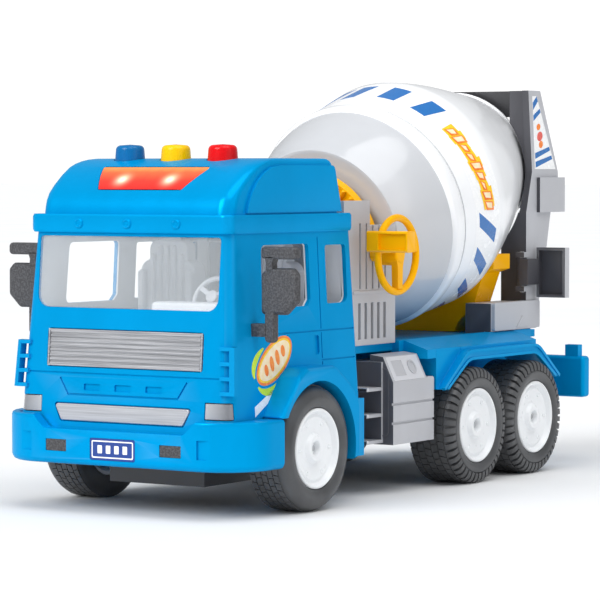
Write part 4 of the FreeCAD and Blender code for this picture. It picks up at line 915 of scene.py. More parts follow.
def build_interior():
    """The cab's liner and dashboard, the two seats and the steering wheel."""
    tub = cad_form("cab_interior")
    liner_outer = ring_solid([cab_ring(68, 2.15), cab_ring(131.0, 2.15)])
    liner_inner = ring_solid([cab_ring(67, 3.0), cab_ring(132.0, 3.0)])
    liner = carved(carved(liner_outer, [liner_inner]), window_holes(0.8))
    ceiling = slab((-53, -158, 130.2), (53, -62, 131.2))
    dash_top = cushion((8, -158, 94), (46, -147, 99.5), 2)
    pillars = [slab((x, -64.5, 68), (x + 6, -62.4, 130)) for x in (-30, 4)]
    piece("cabin_liner", merged(tub, liner, ceiling, dash_top, *pillars), INNER_WHITE, "cab_interior", 0.35)

    seat_low, seat_high = box("cab_seats")
    parts = []
    for middle in (seat_high.x - 15, seat_low.x + 15):
        parts.append(cushion((middle - 15, -118, 68.2), (middle + 15, -88, 84), 4))
        parts.append(cushion((middle - 16.5, -92, 68.4), (middle + 16.5, -82, 117), 6))
        parts.append(cushion((middle - 11.5, -91.4, 110), (middle + 11.5, -83, 126.6), 4.5))
        for offset in (-8.4, -4.2, 0, 4.2, 8.4):
            top = 124 if abs(offset) < 8 else 120
            parts.append(cushion((middle + offset - 1.5, -93.4, 80), (middle + offset + 1.5, -90, top), 1.3))
        for side in (-1, 1):
            x = middle + side * 14.2
            parts.append(cushion((x - 2.2, -95.0, 80), (x + 2.2, -89, 112), 2))
    piece("seat_pair", merged(*parts), SEAT_WHITE, "cab_seats", 0.4)

    wheel_low, wheel_high = box("cab_steering_wheel")
    middle = Vector(((wheel_low.x + wheel_high.x) / 2, -134, 101))
    tilt = Matrix.Translation(middle) @ Matrix.Rotation(math.radians(62), 4, "X")
    tilt = tilt @ Matrix.Rotation(-math.pi / 2, 4, "Y")
    ring = tube_section(9.9, 1.15, 12)
    hub = [(-12, 0), (-12, 2.4), (0.6, 2.4), (1.4, 3.2), (1.9, 2.2), (2.1, 0)]
    spokes = []
    for turn in (90, 210, 330):
        arm = prism(rounded(rectangle(-1.2, 1.2, 1.5, 9.8), 0.4), -0.6, 0.7, "x")
        spokes.append(moved(arm, tilt @ Matrix.Rotation(math.radians(turn), 4, "X")))
    piece("steering_wheel", merged(lathe(ring, tilt, 64, True), lathe(hub, tilt, 32), *spokes), SEAT_WHITE,
          "cab_steering_wheel", 0.2)


# ---------------------------------------------------------------- bumper, fog lamps, plate and mirrors
def build_bumper():
    """The front bumper with its dip and recesses, the fog lamps and the number plate."""
    low, high = box("front_bumper")
    fog_low, fog_high = box("fog_inserts")
    plate_low, plate_high = box("number_plate")

    def plate_tile(grow, soft, front, back):
        """The plate's outline, grown, or shrunk when grow is below 0."""
        return tile(plate_low.x - grow, plate_high.x + grow, plate_low.z - grow, plate_high.z + grow, soft,
                    front, back)

    rows = []
    for z, inset in ((low.z, 2.4), (low.z + 0.6, 1.1), (low.z + 1.8, 0.3), (low.z + 3.0, 0.0),
                     (high.z - 1.6, 0.0), (high.z - 0.5, 0.4), (high.z, 1.3)):
        outline = rounded(rectangle(inset - high.x, high.x - inset, low.y + inset, low.y + 60),
                          [26 - inset, 26 - inset, 0, 0], 20)
        rows.append([Vector((x, min(y, high.y), z)) for x, y in outline])
    inside = prism(rounded(rectangle(-62.3, 62.3, cab_low.y - 0.2, high.y + 5), [6, 6, 0, 0]), low.z - 1,
                   high.z + 1, "z")
    dip = prism(rounded([(-40, 39.5), (40, 39.5), (47, high.z + 0.1), (47, high.z + 3), (-47, high.z + 3),
                         (-47, high.z + 0.1)], [4, 4, 3, 0, 0, 3], 4), low.y - 2, -160, "y")
    form = carved(carved(ring_solid(rows), [inside]), [dip])
    cuts = [plate_tile(0.1, 1, low.y - 1, low.y + 1.2)]
    for side in (1, -1):
        inner, outer = x_range(side, fog_high.x - 11.9, fog_high.x + 0.1)
        cuts.append(slab((inner, low.y - 1, fog_low.z - 0.1), (outer, low.y + 2, fog_high.z + 0.1)))
        inner, outer = x_range(side, 47.5, 54.5)
        cuts.append(slab((inner, low.y - 1, 28.8), (outer, low.y + 1.1, 37.6)))
    piece("bumper_bar", carved(form, cuts), BODY_BLUE, "front_bumper", 0.5, 3)

    def fog(side):
        inner, outer = x_range(side, fog_high.x - 11.8, fog_high.x)
        face = tile(inner, outer, fog_low.z, fog_high.z, 0.8, fog_low.y, fog_high.y)
        bars = [prism(rectangle(inner + 1, outer - 1, z, z + 0.7), fog_low.y - 0.15, fog_low.y + 0.4, "y")
                for z in (fog_low.z + 1.1, fog_low.z + 2.6, fog_low.z + 4.0)]
        return merged(face, *bars)
    piece("fog_lamps", both_sides(fog), DEEP_GREY, "fog_inserts", 0.15)

    plate = plate_tile(0, 1, plate_low.y, plate_high.y)
    print_front, print_back = plate_low.y - 0.06, plate_low.y + 0.3
    border = carved(plate_tile(-1, 0.8, print_front, print_back),
                    [plate_tile(-1.6, 0.5, plate_low.y - 1, plate_low.y + 1)])
    bars = [tile(x - 1.3, x + 1.3, plate_low.z + 3.2, plate_high.z - 3.2, 0.4, print_front, print_back)
            for x in (-7.2, -2.4, 2.4, 7.2)]
    piece("front_plate", merged(painted(plate, 0), painted(border, 1), *[painted(bar, 1) for bar in bars]),
          [PLATE_BLUE, PRINT_WHITE], "number_plate", 0.05, 1)


def build_mirrors():
    """The mirrors: a big pad, a small pad over it, a neck, a stalk and a mount on the door."""
    low, high = box("mirror_left")
    front, back = low.y + 0.5, high.y - 1.0

    def pad(outline, rim):
        rows = []
        middle = Vector((sum(x for x, z in outline), sum(z for x, z in outline))) / len(outline)
        for depth, inset in ((front, rim), (front + 0.9, rim * 0.3), (front + 1.8, 0), (back - 0.8, 0),
                             (back, rim * 0.6)):
            ring = []
            for x, z in outline:
                offset = Vector((x, z)) - middle
                ring.append(Vector((middle.x + offset.x * (1 - inset / 9), depth,
                                    middle.y + offset.y * (1 - inset / 9))))
            rows.append(ring)
        return ring_solid(rows)

    big = rounded([(63.6, 94.5), (77, 94.5), (83.3, 100.6), (83.3, 113.2), (80.6, 116), (66.5, 116),
                   (63.6, 113)],
                  [1.6, 2, 2.6, 2.4, 2, 2, 2])
    small = rounded(rectangle(63.6, 83.3, 120, 125.8), 1.9)
    neck = rounded([(66.2, 114), (70.6, 114), (70.2, 118), (71.5, 121.5), (65.6, 121.5), (66.6, 118)], 0.8)
    stalk = rounded([(66.0, 81.5), (70.8, 81.5), (70.8, 96), (66.0, 96)], [1.8, 1.8, 0.5, 0.5])
    mount = slab((cab_half(87) - 0.3, low.y, 84.2), (66.6, high.y, 90.2))
    parts = [pad(big, 0.9), pad(small, 0.8), pad(neck, 0.4), pad(stalk, 0.5), mount]
    left = merged(*parts)
    right = mirrored(left)
    piece("side_mirror_left", left, DEEP_GREY, "mirror_left", 0.35)
    piece("side_mirror_right", right, DEEP_GREY, "mirror_right", 0.35)


# ---------------------------------------------------------------- wheels
def axle_place(node):
    """The axle line of a wheel set: a matrix that puts the lathe's X axis on it."""
    low, high = box(node)
    return Matrix.Translation((0, (low.y + high.y) / 2, (low.z + high.z) / 2))


def tyre_form(axle, inner, face, radius, rim, style):
    """A tyre from its inner to its outer face, with shallow tread blocks and, at the back, shoulder teeth."""
    tread = radius - 0.6
    side = 1 if face > 0 else -1
    inner, face = abs(inner), abs(face)
    if style == "notched":
        shoulder = [(face - 4.4, tread), (face - 3.2, tread - 1.7), (face - 2.0, tread - 3.4),
                    (face - 1.1, tread - 4.6), (face - 0.15, tread - 5.2)]
    else:
        shoulder = [(face - 4.4, tread), (face - 2.9, tread - 0.5), (face - 1.6, tread - 1.5),
                    (face - 0.7, tread - 3.0), (face - 0.15, tread - 4.8)]
    wall = [(face, rim + 4.4), (face - 0.1, rim + 2.8), (face - 0.5, rim + 1.4), (face - 1.1, rim + 0.5),
            (face - 1.9, rim)]
    profile = [(inner + 0.4, rim), (inner, rim + 3), (inner, tread - 2),
               (inner + 1.4, tread)] + shoulder + wall
    parts = [lathe(profile, Matrix(), 132, True)]
    rows, count = 5, 44
    ridge = radius - 0.09
    wide = (face - 4.6 - inner - 1.2) / rows
    pitch = 2 * math.pi * radius / count
    for row in range(rows):
        start = inner + 1.2 + row * wide
        stop = start + wide - 0.45
        lean = 0.5 if row % 2 else -0.5
        half = pitch / 2 - 0.28
        for index in range(count):
            turn = 2 * math.pi * (index + 0.5 * (row % 2)) / count
            outline = [(start, -half), (stop, -half + lean), (stop, half + lean), (start, half)]
            parts.append(moved(prism(outline, tread - 0.6, ridge, "z"), Matrix.Rotation(turn, 4, "X")))
    for index in range(count if style == "notched" else 0):
        tooth = [(face - 4.5, tread - 0.9), (face - 4.5, ridge), (face - 2.6, radius - 0.35),
                 (face - 1.2, radius - 1.3),
                 (face - 0.45, radius - 3.0), (face - 0.2, radius - 5.2), (face - 1.6, tread - 5.4)]
        parts.append(moved(prism(tooth, -1.3, 1.3, "y"),
                           Matrix.Rotation(2 * math.pi * (index + 0.25) / count, 4, "X")))
    whole = merged(*parts)
    return moved(whole if side > 0 else mirrored(whole), axle)


def rim_form(axle, inner, face, rim):
    """A dished rim: a rolled lip, a step, a shallow dish with six lug pits and a hollow central boss."""
    inner, outer, side = abs(inner), abs(face), (1 if face > 0 else -1)
    lip = outer - 0.9
    profile = [(inner + 2, rim), (lip - 0.3, rim), (lip + 0.2, rim - 0.5), (lip + 0.1, rim - 1.2),
               (lip - 0.8, rim - 1.9),
               (lip - 2.0, rim - 2.3), (lip - 2.5, rim - 2.9), (lip - 2.3, rim - 3.6), (lip - 1.7, rim - 4.2),
               (lip - 1.9, rim - 6.0), (lip - 2.7, rim - 9.0), (lip - 3.0, 8.6), (lip - 2.6, 7.2),
               (lip - 1.2, 6.3),
               (lip - 0.6, 5.8), (lip - 0.5, 4.4), (lip - 0.8, 3.6), (lip - 1.8, 3.1), (lip - 3.8, 2.8),
               (lip - 3.8, 1.55),
               (inner, 1.55), (inner, 6), (lip - 7, 6), (lip - 7, rim - 2), (inner + 2, rim - 2)]
    form = lathe(profile, Matrix(), 96, True)
    lugs = []
    for index in range(6):
        spot = Matrix.Rotation(2 * math.pi * (index + 0.5) / 6, 4,
                               "X") @ Matrix.Translation((0, 0, rim - 6.0))
        ring = [(lip - 3.4, 0), (lip - 3.4, 1.3), (lip - 1.7, 1.2), (lip - 1.5, 0.9), (lip - 1.7, 0.6),
                (lip - 2.4, 0.5), (lip - 2.4, 0)]
        lugs.append(lathe(ring, spot, 20))
    whole = merged(form, *lugs)
    return moved(whole if side > 0 else mirrored(whole), axle)


def build_wheels():
    """Tyres and rims of the three axles, both sides in one piece as in the CAD."""
    for place, inner, style in (("front", 49.5, "plain"), ("middle", 45.5, "notched"),
                                ("rear", 45.5, "notched")):
        axle = axle_place(place + "_axle")
        low, high = box(place + "_tyres")
        face, radius = high.x, (high.z - low.z) / 2
        rim_low, rim_high = box(place + "_rims")
        rim = (rim_high.z - rim_low.z) / 2
        tyres = both_sides(lambda side: tyre_form(axle, side * inner, side * face, radius, rim, style))
        rims = both_sides(lambda side: rim_form(axle, side * inner, side * face, rim - 0.15))
        piece(place + "_tyre_pair", tyres, TYRE, place + "_tyres", 0)
        piece(place + "_rim_pair", rims, RIM_WHITE, place + "_rims", 0)


# ---------------------------------------------------------------- drum and hand drive
JOINTS = {joint["name"]: joint for joint in frame["joints"]}
drum_joint = JOINTS["drum_spin"]
DRUM_PLACE = Vector(drum_joint["pos_m"]) / MM
DRUM_AXIS = Vector(drum_joint["axis"])
DRUM_TURN = Matrix.Translation(DRUM_PLACE) @ DRUM_AXIS.to_track_quat("X", "Z").to_matrix().to_4x4()
NOSE, CONE, GROOVE, BAND, BELLY, MOUTH = -31.5, 8.9, 16.0, 23.8, 50.0, 121.4
NOSE_R, CONE_R, GROOVE_R, BAND_R, BELLY_R, MOUTH_R = 47.0, 60.1, 59.0, 60.3, 62.8, 39.5


def drum_radius(station):
    """Outside radius of the drum's rear shell at a station along its axis."""
    if station < BELLY:
        return BAND_R + (BELLY_R - BAND_R) * (station - BAND) / (BELLY - BAND)
    share = (station - BELLY) / (MOUTH - BELLY)
    return BELLY_R + (MOUTH_R - BELLY_R) * share + 2.2 * math.sin(math.pi * share) * (1 - share)


def drum_spot(station, degrees, lift):
    """A place over the drum's skin; degrees are counted from the top towards the truck's left."""
    turn = math.radians(degrees)
    radius = drum_radius(station) + lift
    return DRUM_TURN @ Vector((station, -radius * math.sin(turn), radius * math.cos(turn)))


def drum_patch(corners, lift, thick=0.09):
    """A thin patch on the drum between two edges; corners are (station, degrees), low edge then high edge."""
    (s0, a0), (s1, a1), (s2, a2), (s3, a3) = corners
    steps = max(3, int(abs(a1 - a0) / 2))
    across = 5
    skins = []
    for raise_by in (lift, lift + thick):
        rows = []
        for step in range(steps + 1):
            t = step / steps
            low = Vector((s0, a0)).lerp(Vector((s1, a1)), t)
            high = Vector((s3, a3)).lerp(Vector((s2, a2)), t)
            rows.append([drum_spot(*low.lerp(high, over / across), raise_by) for over in range(across + 1)])
        skins.append(rows)
    return sheet_solid(skins)


def build_drum():
    """The drum's front cone, its rear shell with two mixing fins, and its printed band."""
    dish = [(NOSE + 1.8, 0), (NOSE + 1.8, 20), (NOSE, 22), (NOSE, NOSE_R - 2.5), (NOSE + 0.5, NOSE_R - 0.8),
            (NOSE + 1.8, NOSE_R), (NOSE + 5, NOSE_R + 0.9), (NOSE + 6, NOSE_R + 1.9),
            (NOSE + 14, NOSE_R + 4.9),
            (NOSE + 24, NOSE_R + 8.4), (CONE - 6.5, CONE_R - 2.3), (CONE - 5.4, CONE_R - 2.3),
            (CONE - 4.6, CONE_R - 1.0),
            (CONE - 3.2, CONE_R - 0.1), (CONE + 2.6, CONE_R), (CONE + 4.4, CONE_R - 0.5),
            (GROOVE - 0.6, GROOVE_R - 0.3),
            (GROOVE - 0.5, GROOVE_R - 2), (CONE, GROOVE_R - 2.4), (NOSE + 7, NOSE_R - 2.5),
            (NOSE + 3, NOSE_R - 5), (NOSE + 3, 0)]
    front = lathe(dish, DRUM_TURN, 128)
    # The nose and inner cone get the grey finish as painted shade; the outer rim stays white.
    for face in front.faces:
        middle = DRUM_TURN.inverted() @ face.calc_center_median()
        face.material_index = 1 if middle.x < CONE - 5.6 else 0
    piece("drum_cone", front, [DRUM_WHITE, CONE_SHADE_GREY], "drum_front_shell", 0)

    stations = [BELLY + (MOUTH - 1.6 - BELLY) * step / 12 for step in range(13)]
    skin = [(GROOVE + 0.1, GROOVE_R - 2), (GROOVE + 0.1, GROOVE_R - 0.2), (GROOVE + 1.6, GROOVE_R + 0.3),
            (BAND - 0.6, BAND_R - 0.1), (BAND, BAND_R)]
    skin += [(BAND + (BELLY - BAND) * step / 5,
              drum_radius(BAND + (BELLY - BAND) * step / 5)) for step in range(1, 5)]
    skin += [(station, drum_radius(station)) for station in stations]
    skin += [(MOUTH - 1.4, MOUTH_R + 1.2), (MOUTH - 0.2, MOUTH_R + 0.9), (MOUTH, MOUTH_R - 0.2),
             (MOUTH - 0.4, MOUTH_R - 1.6), (BELLY, BELLY_R - 2.3), (BAND, GROOVE_R - 2)]
    shell = lathe(skin, DRUM_TURN, 128, True)
    fins = []
    for half_turn in (0, math.pi):
        outline = [(BAND, 46), (BELLY, 48), (108, 34), (108, 42.4), (BELLY, 61.4), (BAND, 57.8)]
        fins.append(moved(prism(outline, -0.9, 0.9, "y"), DRUM_TURN @ Matrix.Rotation(half_turn + 0.35, 4,
                                                                                      "X")))
    piece("drum_shell", merged(shell, *fins), DRUM_WHITE, "drum_rear_shell", 0)

    film = [(BAND + 0.9, drum_radius(BAND + 0.9) + 0.01), (BAND + 0.9, drum_radius(BAND + 0.9) + 0.04),
            (BELLY - 3, drum_radius(BELLY - 3) + 0.04), (BELLY - 3, drum_radius(BELLY - 3) + 0.01)]
    parts = [painted(lathe(film, DRUM_TURN, 128, True), 0)]
    near, far = 27.4, 43.4
    for base in (0, 180):
        for start, wide, skew in ((7.3, 9.6, 1.8), (26.5, 8.8, 3.6), (92, 7.4, 12), (110, 7.6, 13.6),
                                  (128.5, 7.8, 13.6), (147, 8, 12), (165.5, 8.6, 6)):
            a = base + start
            corners = [(near, a), (near, a + wide), (far, a + wide + skew), (far, a + skew)]
            parts.append(painted(drum_patch(corners, 0.03), 1))
        parts += drum_label(base)
    piece("drum_decals", merged(*parts), [PRINT_WHITE, PRINT_BLUE, PRINT_YELLOW, PRINT_ORANGE, PRINT_CREAM],
          "drum_stickers", 0)


def drum_label(base):
    """A flame-like streak along the band: a wavy yellow ground with orange and cream darts on it."""
    parts = []
    start, stop, count = 46.0, 92.0, 9
    step = (stop - start) / count
    for index in range(count):
        a = base + start + index * step
        swell = 1.6 * math.sin(index * 1.9)
        low, high = 28.6 + 0.45 * index - 0.4 * swell, 37.6 + 0.4 * index + swell
        parts.append(painted(drum_patch([(low, a), (low + 0.45, a + step),
                                         (high + 0.4 - 0.5 * swell, a + step), (high, a)],
                                        0.13), 2))
        parts.append(painted(drum_patch([(low + 1.0, a + 0.8), (low + 2.4, a + step + 0.5),
                                         (high - 1.0, a + step + 1.8), (high - 1.4, a + 2.6)], 0.24), 3))
        parts.append(painted(drum_patch([(low + 2.2, a + 1.6), (low + 3.2, a + step - 0.6),
                                         (high - 2.6, a + step + 0.6), (high - 2.4, a + 3.0)], 0.35), 4))
    return parts


def build_hand_drive():
    """The hand wheel: ring, hub, cross bar, a spoke that flares at the hub, and the grip."""
    hub_place = Vector(JOINTS["handwheel_spin"]["pos_m"]) / MM
    low, high = box("handwheel")
    radius = (high.z - low.z) / 2
    tube = 1.85
    centre = Matrix.Translation(hub_place)
    ring = tube_section(radius - tube, tube, 16)
    hub = [(-9, 0), (-9, 4.6), (-8, 5.4), (-3, 5.4), (-1, 5.0), (1.6, 4.6), (2.4, 3.8), (2.6, 0)]
    bar = prism(rounded([(-17.4, 1.2), (17.4, 1.2), (16.4, 8.8), (-16.4, 8.8)], 1.0), -1.7, 1.7, "x")
    spoke = prism(rounded([(-4.8, 1.4), (4.8, 1.4), (2.6, -6.0), (2.2, -16.9), (-2.2, -16.9), (-2.6, -6.0)],
                          [0, 0, 3, 0, 0, 3]), -1.7, 2.1, "x")
    grip = prism(rounded(rectangle(-21.3, -13.5, 1.7, 12.1), 1.1), -4.8, 18.5, "x")
    grip = carved(grip, [slab((2.0, -23, 3.1), (17.2, -19.4, 10.7))])
    whole = merged(lathe(ring, Matrix(), 96, True), lathe(hub, Matrix(), 40), bar, grip, spoke)
    piece("hand_wheel", moved(whole, centre), YELLOW, "handwheel", 0.35)


# ---------------------------------------------------------------- the rest, from CAD shapes
def build_from_cad():
    """Pieces whose CAD shape is right: it gets rounded edges, and here and there small moulded detail."""
    piece("stack", stack_form(), [MID_GREY, PAINTED_DEEP_SHADE], "drive_housing", 0.4)
    for name, side in SIDES:
        piece("tool_box_with_steps_" + name, tool_box_form(name, side), [MID_GREY, PALE_GREY, PAINTED_SOFT_SHADE],
              "tool_box_" + name, 0.45)
        piece("wheel_fender_" + name, fender_form(name, side), BODY_BLUE, "fender_" + name, 0.6, 3)
        piece("tower_frame_" + name, tower_form(name, side), [MID_GREY, PAINTED_DEEP_SHADE], "tower_side_" + name,
              0.45)
    piece("tower_crosspiece", cad_form("feed_hopper"), DARK_PLASTIC, "feed_hopper", 0.4)
    piece("tail_bumper", cad_form("rear_bumper"), BODY_BLUE, "rear_bumper", 0.5)
    piece("saddle", cad_form("drum_saddle"), YELLOW, "drum_saddle", 0.6, 3)
    piece("chute_tray", chute_form(), [PAINTED_DEEP_SHADE, MID_GREY], "discharge_chute", 0.5, 3)
    piece("motor_case", cad_form("motor_housing"), DARK_PLASTIC, "motor_housing", 0.6)
    piece("chassis", cad_form("chassis_deck"), BODY_BLUE, "chassis_deck", 0.4)
    for nodes, finish in (
            (("front_axle", "middle_axle", "rear_axle", "chute_pin", "assembly_screws", "battery_cells"),
             BRIGHT_STEEL),
            (("floor_pan", "battery_door"), DARK_PLASTIC), (("drum_front_bearing",), MID_GREY),
            (("crown_gear", "pinion_shaft"), YELLOW), (("axle_gear", "motor_layshaft"), INNER_WHITE),
            (("motor_flywheel",), IRON), (("sound_board",), BOARD), (("switch_pad",), PAD),
            (("speaker",), SPEAKER_BLACK)):
        for node in nodes:
            refinish(node, finish)


def stack_form():
    """The drive stack with a small ledge on each side; its slot floors get the darkest grey as painted shade."""
    form = cad_form("drive_housing")
    low, high = box("drive_housing")
    for face in form.faces:
        middle = face.calc_center_median()
        recessed = low.x + 0.5 < middle.x < low.x + 2 or high.x - 2 < middle.x < high.x - 0.5
        face.material_index = 1 if recessed and abs(face.normal.x) > 0.9 and middle.y > -40 else 0
    ledges = []
    for side in (1, -1):
        low_x, high_x = x_range(side, high.x - 8, high.x + 0.5)
        ledges.append(slab((low_x, -42.7, 99.6), (high_x, high.y + 0.3, 101.2)))
    return merged(form, *ledges)


def tool_box_form(name, side):
    form = cad_form("tool_box_" + name)
    # Front-facing faces get the darker grey as painted shadow from the cab.
    for face in form.faces:
        face.material_index = 2 if face.normal.y < -0.5 else 0
    low, high = box("tool_box_left")
    slope_low, slope_high = Vector((high.x, 56)), Vector((58, 68.5))

    def on_slope(outline, depth, proud):
        """A pad on the sloping upper panel; outline is (y, share of the way up)."""
        along = slope_high - slope_low
        out = Vector((along.y, -along.x)).normalized()
        rows = []
        for lift in (-depth, proud):
            ring = []
            for y, share in outline:
                spot = slope_low + along * share + out * lift
                ring.append(Vector((side * spot.x, y, spot.y)))
            rows.append(ring)
        return ring_solid(rows)

    plate = on_slope(rounded(rectangle(-28.9, 0.5, 0.05, 0.97), 0.1), 0.6, 0.25)
    square = on_slope(rectangle(-25.5, -15.5, 0.22, 0.82), 1.4, 0.9)
    plate = carved(plate, [square])
    pocket = on_slope(rectangle(-25.3, -15.7, 0.24, 0.8), 0.5, 0.02)
    dial_middle = (-8.0, 0.52)
    dial = carved(on_slope(ellipse(dial_middle, (3.6, 0.27), 0, 24), 0.5, 0.8),
                  [on_slope(ellipse(dial_middle, (2.5, 0.19), 0, 24), -0.45, 2.0)])
    # The thin frame on the front face is painted in the same shadow grey.
    outline_ring = carved(tile(*x_range(side, 44.5, 61.5), 29, 63, 3, -30.9, -30.4),
                          [tile(*x_range(side, 45.3, 60.7), 29.8, 62.2, 2.4, -32, -29)])
    parts = [form, painted(plate, 1), painted(pocket, 0), painted(dial, 0), painted(outline_ring, 2)]
    shelf_low, shelf_high = x_range(side, 40, 58.3)
    for z in (26, 39, 52):
        parts.append(painted(slab((shelf_low, low.y, z + 0.5), (shelf_high, low.y + 1.6, z + 2.0)), 1))
    return merged(*parts)


def fender_form(name, side):
    """The rear fender with rounded shoulders and two raised beads that follow its outline."""
    form = cad_form("fender_" + name)
    low, high = box("fender_left")
    face, top = high.x, 69.0

    def path(inset, foot):
        return [(low.y + inset, foot), (low.y + 25 + 0.4 * inset, top - inset),
                (high.y - 25 - 0.4 * inset, top - inset), (high.y - inset, foot)]

    low_x, high_x = x_range(side, 64.3, face + 2)
    keep = prism(rounded(path(0.05, low.z - 1), [0, 16, 16, 0], 8), *x_range(side, 60, face + 3), "x")
    outside = carved(slab((low_x, low.y - 2, low.z - 2), (high_x, high.y + 2, 82)), [keep])
    beads = []
    for inset, reach in ((0.9, 0.8), (4.6, 0.6)):
        outline = strip_line(rounded_path(path(inset, low.z + 0.3), 15), 1.5)
        beads.append(prism(outline, *x_range(side, face - 1.2, face + reach), "x"))
    return merged(carved(form, [outside]), *beads)


def rounded_path(points, radius):
    """An open run of points with its inner corners rounded."""
    return rounded(points, [0] + [radius] * (len(points) - 2) + [0])


def tower_form(name, side):
    """A side frame with the rounded block, the base block's light face and a gusset mark; its front and inward
    faces are painted dark as shade.
    """
    form = cad_form("tower_side_" + name)
    # Front faces and faces turned inward get the darkest grey as painted shade.
    for face in form.faces:
        faces_in = abs(face.normal.x) > 0.9 and face.normal.x * side < 0
        face.material_index = 1 if face.normal.y < -0.7 or faces_in else 0
    low = box("tower_side_left")[0]
    base = prism(rounded(rectangle(low.y + 0.6, 144.6, 75.6, 90.4), 1.2), *x_range(side, 47, 52), "x")
    gusset = prism([(118, 76.6), (131, 76.6), (124.5, 82.5)], *x_range(side, 51.4, 52.4), "x")
    return merged(form, painted(base, 0), painted(gusset, 0))


def chute_form():
    """The chute tray: its dished face gets the darkest grey as painted shade; its rim and rear faces stay lighter.
    """
    form = cad_form("discharge_chute")
    high = box("discharge_chute")[1]
    for face in form.faces:
        middle = face.calc_center_median()
        face.material_index = 1 if middle.x > high.x - 0.4 or face.normal.y > 0.5 else 0
    return form


# ---------------------------------------------------------------- printed labels
def on_oval(middle, size, turn, angle):
    """The place at an angle on an oval whose long axis is turned; both angles are in radians."""
    a, b = size[0] * math.cos(angle), size[1] * math.sin(angle)
    cos, sin = math.cos(turn), math.sin(turn)
    return middle[0] + a * cos - b * sin, middle[1] + a * sin + b * cos


def ellipse(middle, size, tilt, count=40):
    """An oval outline tilted by some degrees."""
    return [on_oval(middle, size, math.radians(tilt), 2 * math.pi * index / count) for index in range(count)]


def crescent(middle, size, tilt, start, stop, thick, count=16):
    """A tapering swoosh along part of an oval."""
    inner, outer = [], []
    for index in range(count + 1):
        angle = math.radians(start + (stop - start) * index / count)
        swell = thick * math.sin(math.pi * (0.08 + 0.84 * index / count))
        inner.append(on_oval(middle, size, math.radians(tilt), angle))
        outer.append(on_oval(middle, (size[0] + swell, size[1] + swell), math.radians(tilt), angle))
    return outer + inner[::-1]


def door_label(side):
    """Oval badge with a border between two lime swooshes, over a white wedge; no lettering."""
    middle, tilt = (-131.2, 72.2), 30

    def film(outline, layer, finish):
        return painted(on_side(outline, 0.02, 0.05 + 0.07 * layer, side), finish)

    parts = [film(ellipse(middle, (17.2, 8.4), tilt), 0, 3), film(ellipse(middle, (15.8, 7.2), tilt), 1, 2),
             film(ellipse(middle, (14.6, 6.3), tilt), 2, 4)]
    along = Vector((math.cos(math.radians(tilt)), math.sin(math.radians(tilt))))
    for offset, size in ((-8.4, 2.8), (-2.8, 3.7), (2.8, 3.7), (8.4, 2.8)):
        spot = Vector(middle) + along * offset
        parts.append(film(ellipse(spot, (1.7, size), tilt - 18, 20), 3, 3))
    parts.append(film(crescent(middle, (18.6, 9.6), tilt, 104, 168, 3.6), 0, 1))
    parts.append(film(crescent(middle, (18.6, 9.8), tilt, 196, 288, 3.8), 0, 1))
    parts.append(film([(-149.3, 51.6), (-149.3, 46.9), (-137.4, 53.2), (-131.0, 59.8)], 0, 0))
    return merged(*parts)


def tower_label(side):
    """White panel with blue diagonal stripes at both ends and plain round marks between them."""
    face = 50.05

    def film(outline, layer, finish):
        return painted(prism(outline, *x_range(side, face, face + 0.1 + 0.06 * layer), "x"), finish)

    front = [(138.6, 201.0), (142.0, 161.5)]
    back = [(143.6, 201.0), (165.8, 161.5)]

    def spot(across, down):
        """A place on the panel: across 0..1 from front to back, down 0..1 from top to bottom."""
        a = Vector(front[0]).lerp(Vector(front[1]), down)
        b = Vector(back[0]).lerp(Vector(back[1]), down)
        return tuple(a.lerp(b, across))

    parts = [film([spot(0, 0), spot(0, 1), spot(1, 1), spot(1, 0)], 0, 0)]
    for low, high in ((0.03, 0.13), (0.2, 0.28), (0.72, 0.8), (0.84, 0.92)):
        parts.append(film([spot(0.04, low + 0.06), spot(0.04, high + 0.06), spot(0.96, high - 0.06),
                           spot(0.96, low - 0.03)], 1, 1))
    for down, size, finish in ((0.42, 2.2, 2), (0.55, 3.2, 3), (0.66, 2.4, 2)):
        parts.append(film(ellipse(spot(0.45, down), (size, size * 0.8), 20, 24), 1, finish))
    return merged(*parts)


def build_labels():
    finishes = [PRINT_WHITE, PRINT_LIME, PRINT_YELLOW, PRINT_ORANGE, PRINT_CREAM]
    tower_finishes = [PRINT_WHITE, PRINT_BLUE, PRINT_ORANGE, PRINT_RED]
    doors = both_sides(door_label)
    towers = both_sides(tower_label)
    for face in towers.faces:
        face.material_index += len(finishes)
    piece("labels", merged(doors, towers), finishes + tower_finishes, "truck_stickers", 0)


# ---------------------------------------------------------------- stage, light and camera
def build_stage():
    """A wide pale paper floor."""
    half = 30.0
    form = bmesh.new()
    corners = [form.verts.new((x * half, y * half, 0)) for x, y in ((-1, -1), (1, -1), (1, 1), (-1, 1))]
    form.faces.new(corners)
    floor = holder(form, "floor")
    made = Shader("floor_paper", 0.75)
    made.color(made.ramp(made.noise(6, 3), [(0.3, (0.86, 0.87, 0.88, 1)), (0.7, (0.9, 0.9, 0.905, 1))]))
    floor.data.materials.append(made.material)


def placed_light(name, light, towards, spot=(0, 0, 0)):
    """Put a light in the scene at a spot, shining along the vector towards."""
    thing = bpy.data.objects.new(name, light)
    thing.location = spot
    thing.rotation_mode = "QUATERNION"
    thing.rotation_quaternion = Vector(towards).to_track_quat("-Z", "Y")
    bpy.context.scene.collection.objects.link(thing)


def sun(name, strength, angle, towards):
    """A soft far light that shines along the vector towards."""
    light = bpy.data.lights.new(name, "SUN")
    light.energy = strength
    light.angle = math.radians(angle)
    placed_light(name, light, towards)


def softbox(name, power, size, spot, aim):
    """A square-cornered studio light of some size in metres, aimed at a place."""
    light = bpy.data.lights.new(name, "AREA")
    light.shape = "RECTANGLE"
    light.size, light.size_y = size
    light.energy = power
    placed_light(name, light, Vector(aim) - Vector(spot), spot)


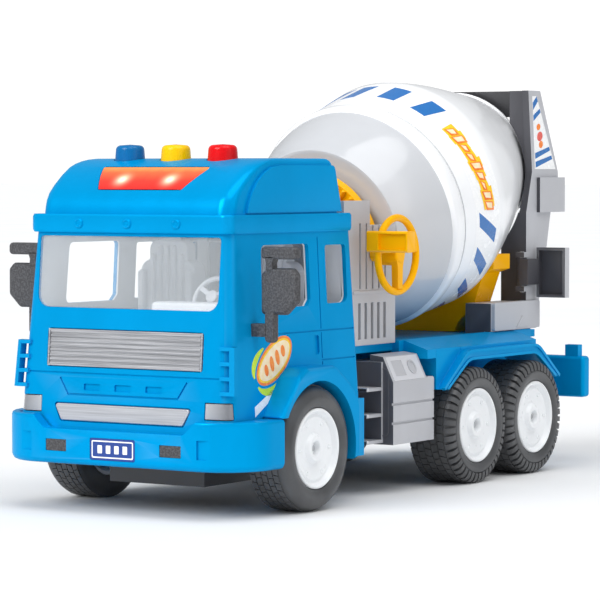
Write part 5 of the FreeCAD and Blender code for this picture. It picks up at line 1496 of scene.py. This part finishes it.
def build_light():
    """A bright studio: soft fill, three suns, two soft boxes and a white backdrop."""
    world = bpy.data.worlds.new("studio")
    bpy.context.scene.world = world
    world.use_nodes = True
    tree = world.node_tree
    fill = tree.nodes["Background"]
    fill.inputs["Color"].default_value = (0.96, 0.98, 1.0, 1)
    fill.inputs["Strength"].default_value = 0.44
    paper = tree.nodes.new("ShaderNodeBackground")
    paper.inputs["Color"].default_value = (1, 1, 1, 1)
    paper.inputs["Strength"].default_value = 1.1
    seen = tree.nodes.new("ShaderNodeLightPath")
    choice = tree.nodes.new("ShaderNodeMixShader")
    tree.links.new(seen.outputs["Is Camera Ray"], choice.inputs[0])
    tree.links.new(fill.outputs[0], choice.inputs[1])
    tree.links.new(paper.outputs[0], choice.inputs[2])
    tree.links.new(choice.outputs[0], tree.nodes["World Output"].inputs["Surface"])
    sun("front_light", 1.95, 35, (0.28, 1.0, -0.72))
    sun("top_light", 1.4, 50, (-0.42, 0.15, -1.0))
    sun("side_light", 0.2, 45, (-1.0, 0.12, -0.12))
    softbox("side_box", 0.8, (0.3, 0.9), (1.3, 0.1, 0.8), (0, 0, 0.1))
    softbox("front_box", 1.6, (0.9, 0.4), (-0.4, -1.5, 0.9), (0, -0.1, 0.1))
    bpy.context.scene.view_settings.view_transform = "Standard"


def build_camera():
    """A long lens ahead of the truck on its left side, at about the height of the cab."""
    azimuth, elevation = math.radians(32.7345), math.radians(2.4763)
    back = Vector((math.sin(azimuth) * math.cos(elevation), -math.cos(azimuth) * math.cos(elevation),
                   math.sin(elevation)))
    lens = bpy.data.cameras.new("camera")
    lens.lens = 178.87
    lens.sensor_width = 36
    camera = bpy.data.objects.new("camera", lens)
    camera.location = Vector((819.65, -1291.18, 160.42)) * MM
    camera.rotation_mode = "QUATERNION"
    camera.rotation_quaternion = (-back).to_track_quat("-Z", "Y")
    bpy.context.scene.collection.objects.link(camera)
    bpy.context.scene.camera = camera


build_camera()
build_light()
build_stage()
build_cab()
build_roof()
build_buttons()
build_interior()
build_bumper()
build_mirrors()
build_wheels()
build_drum()
build_hand_drive()
build_from_cad()
build_labels()
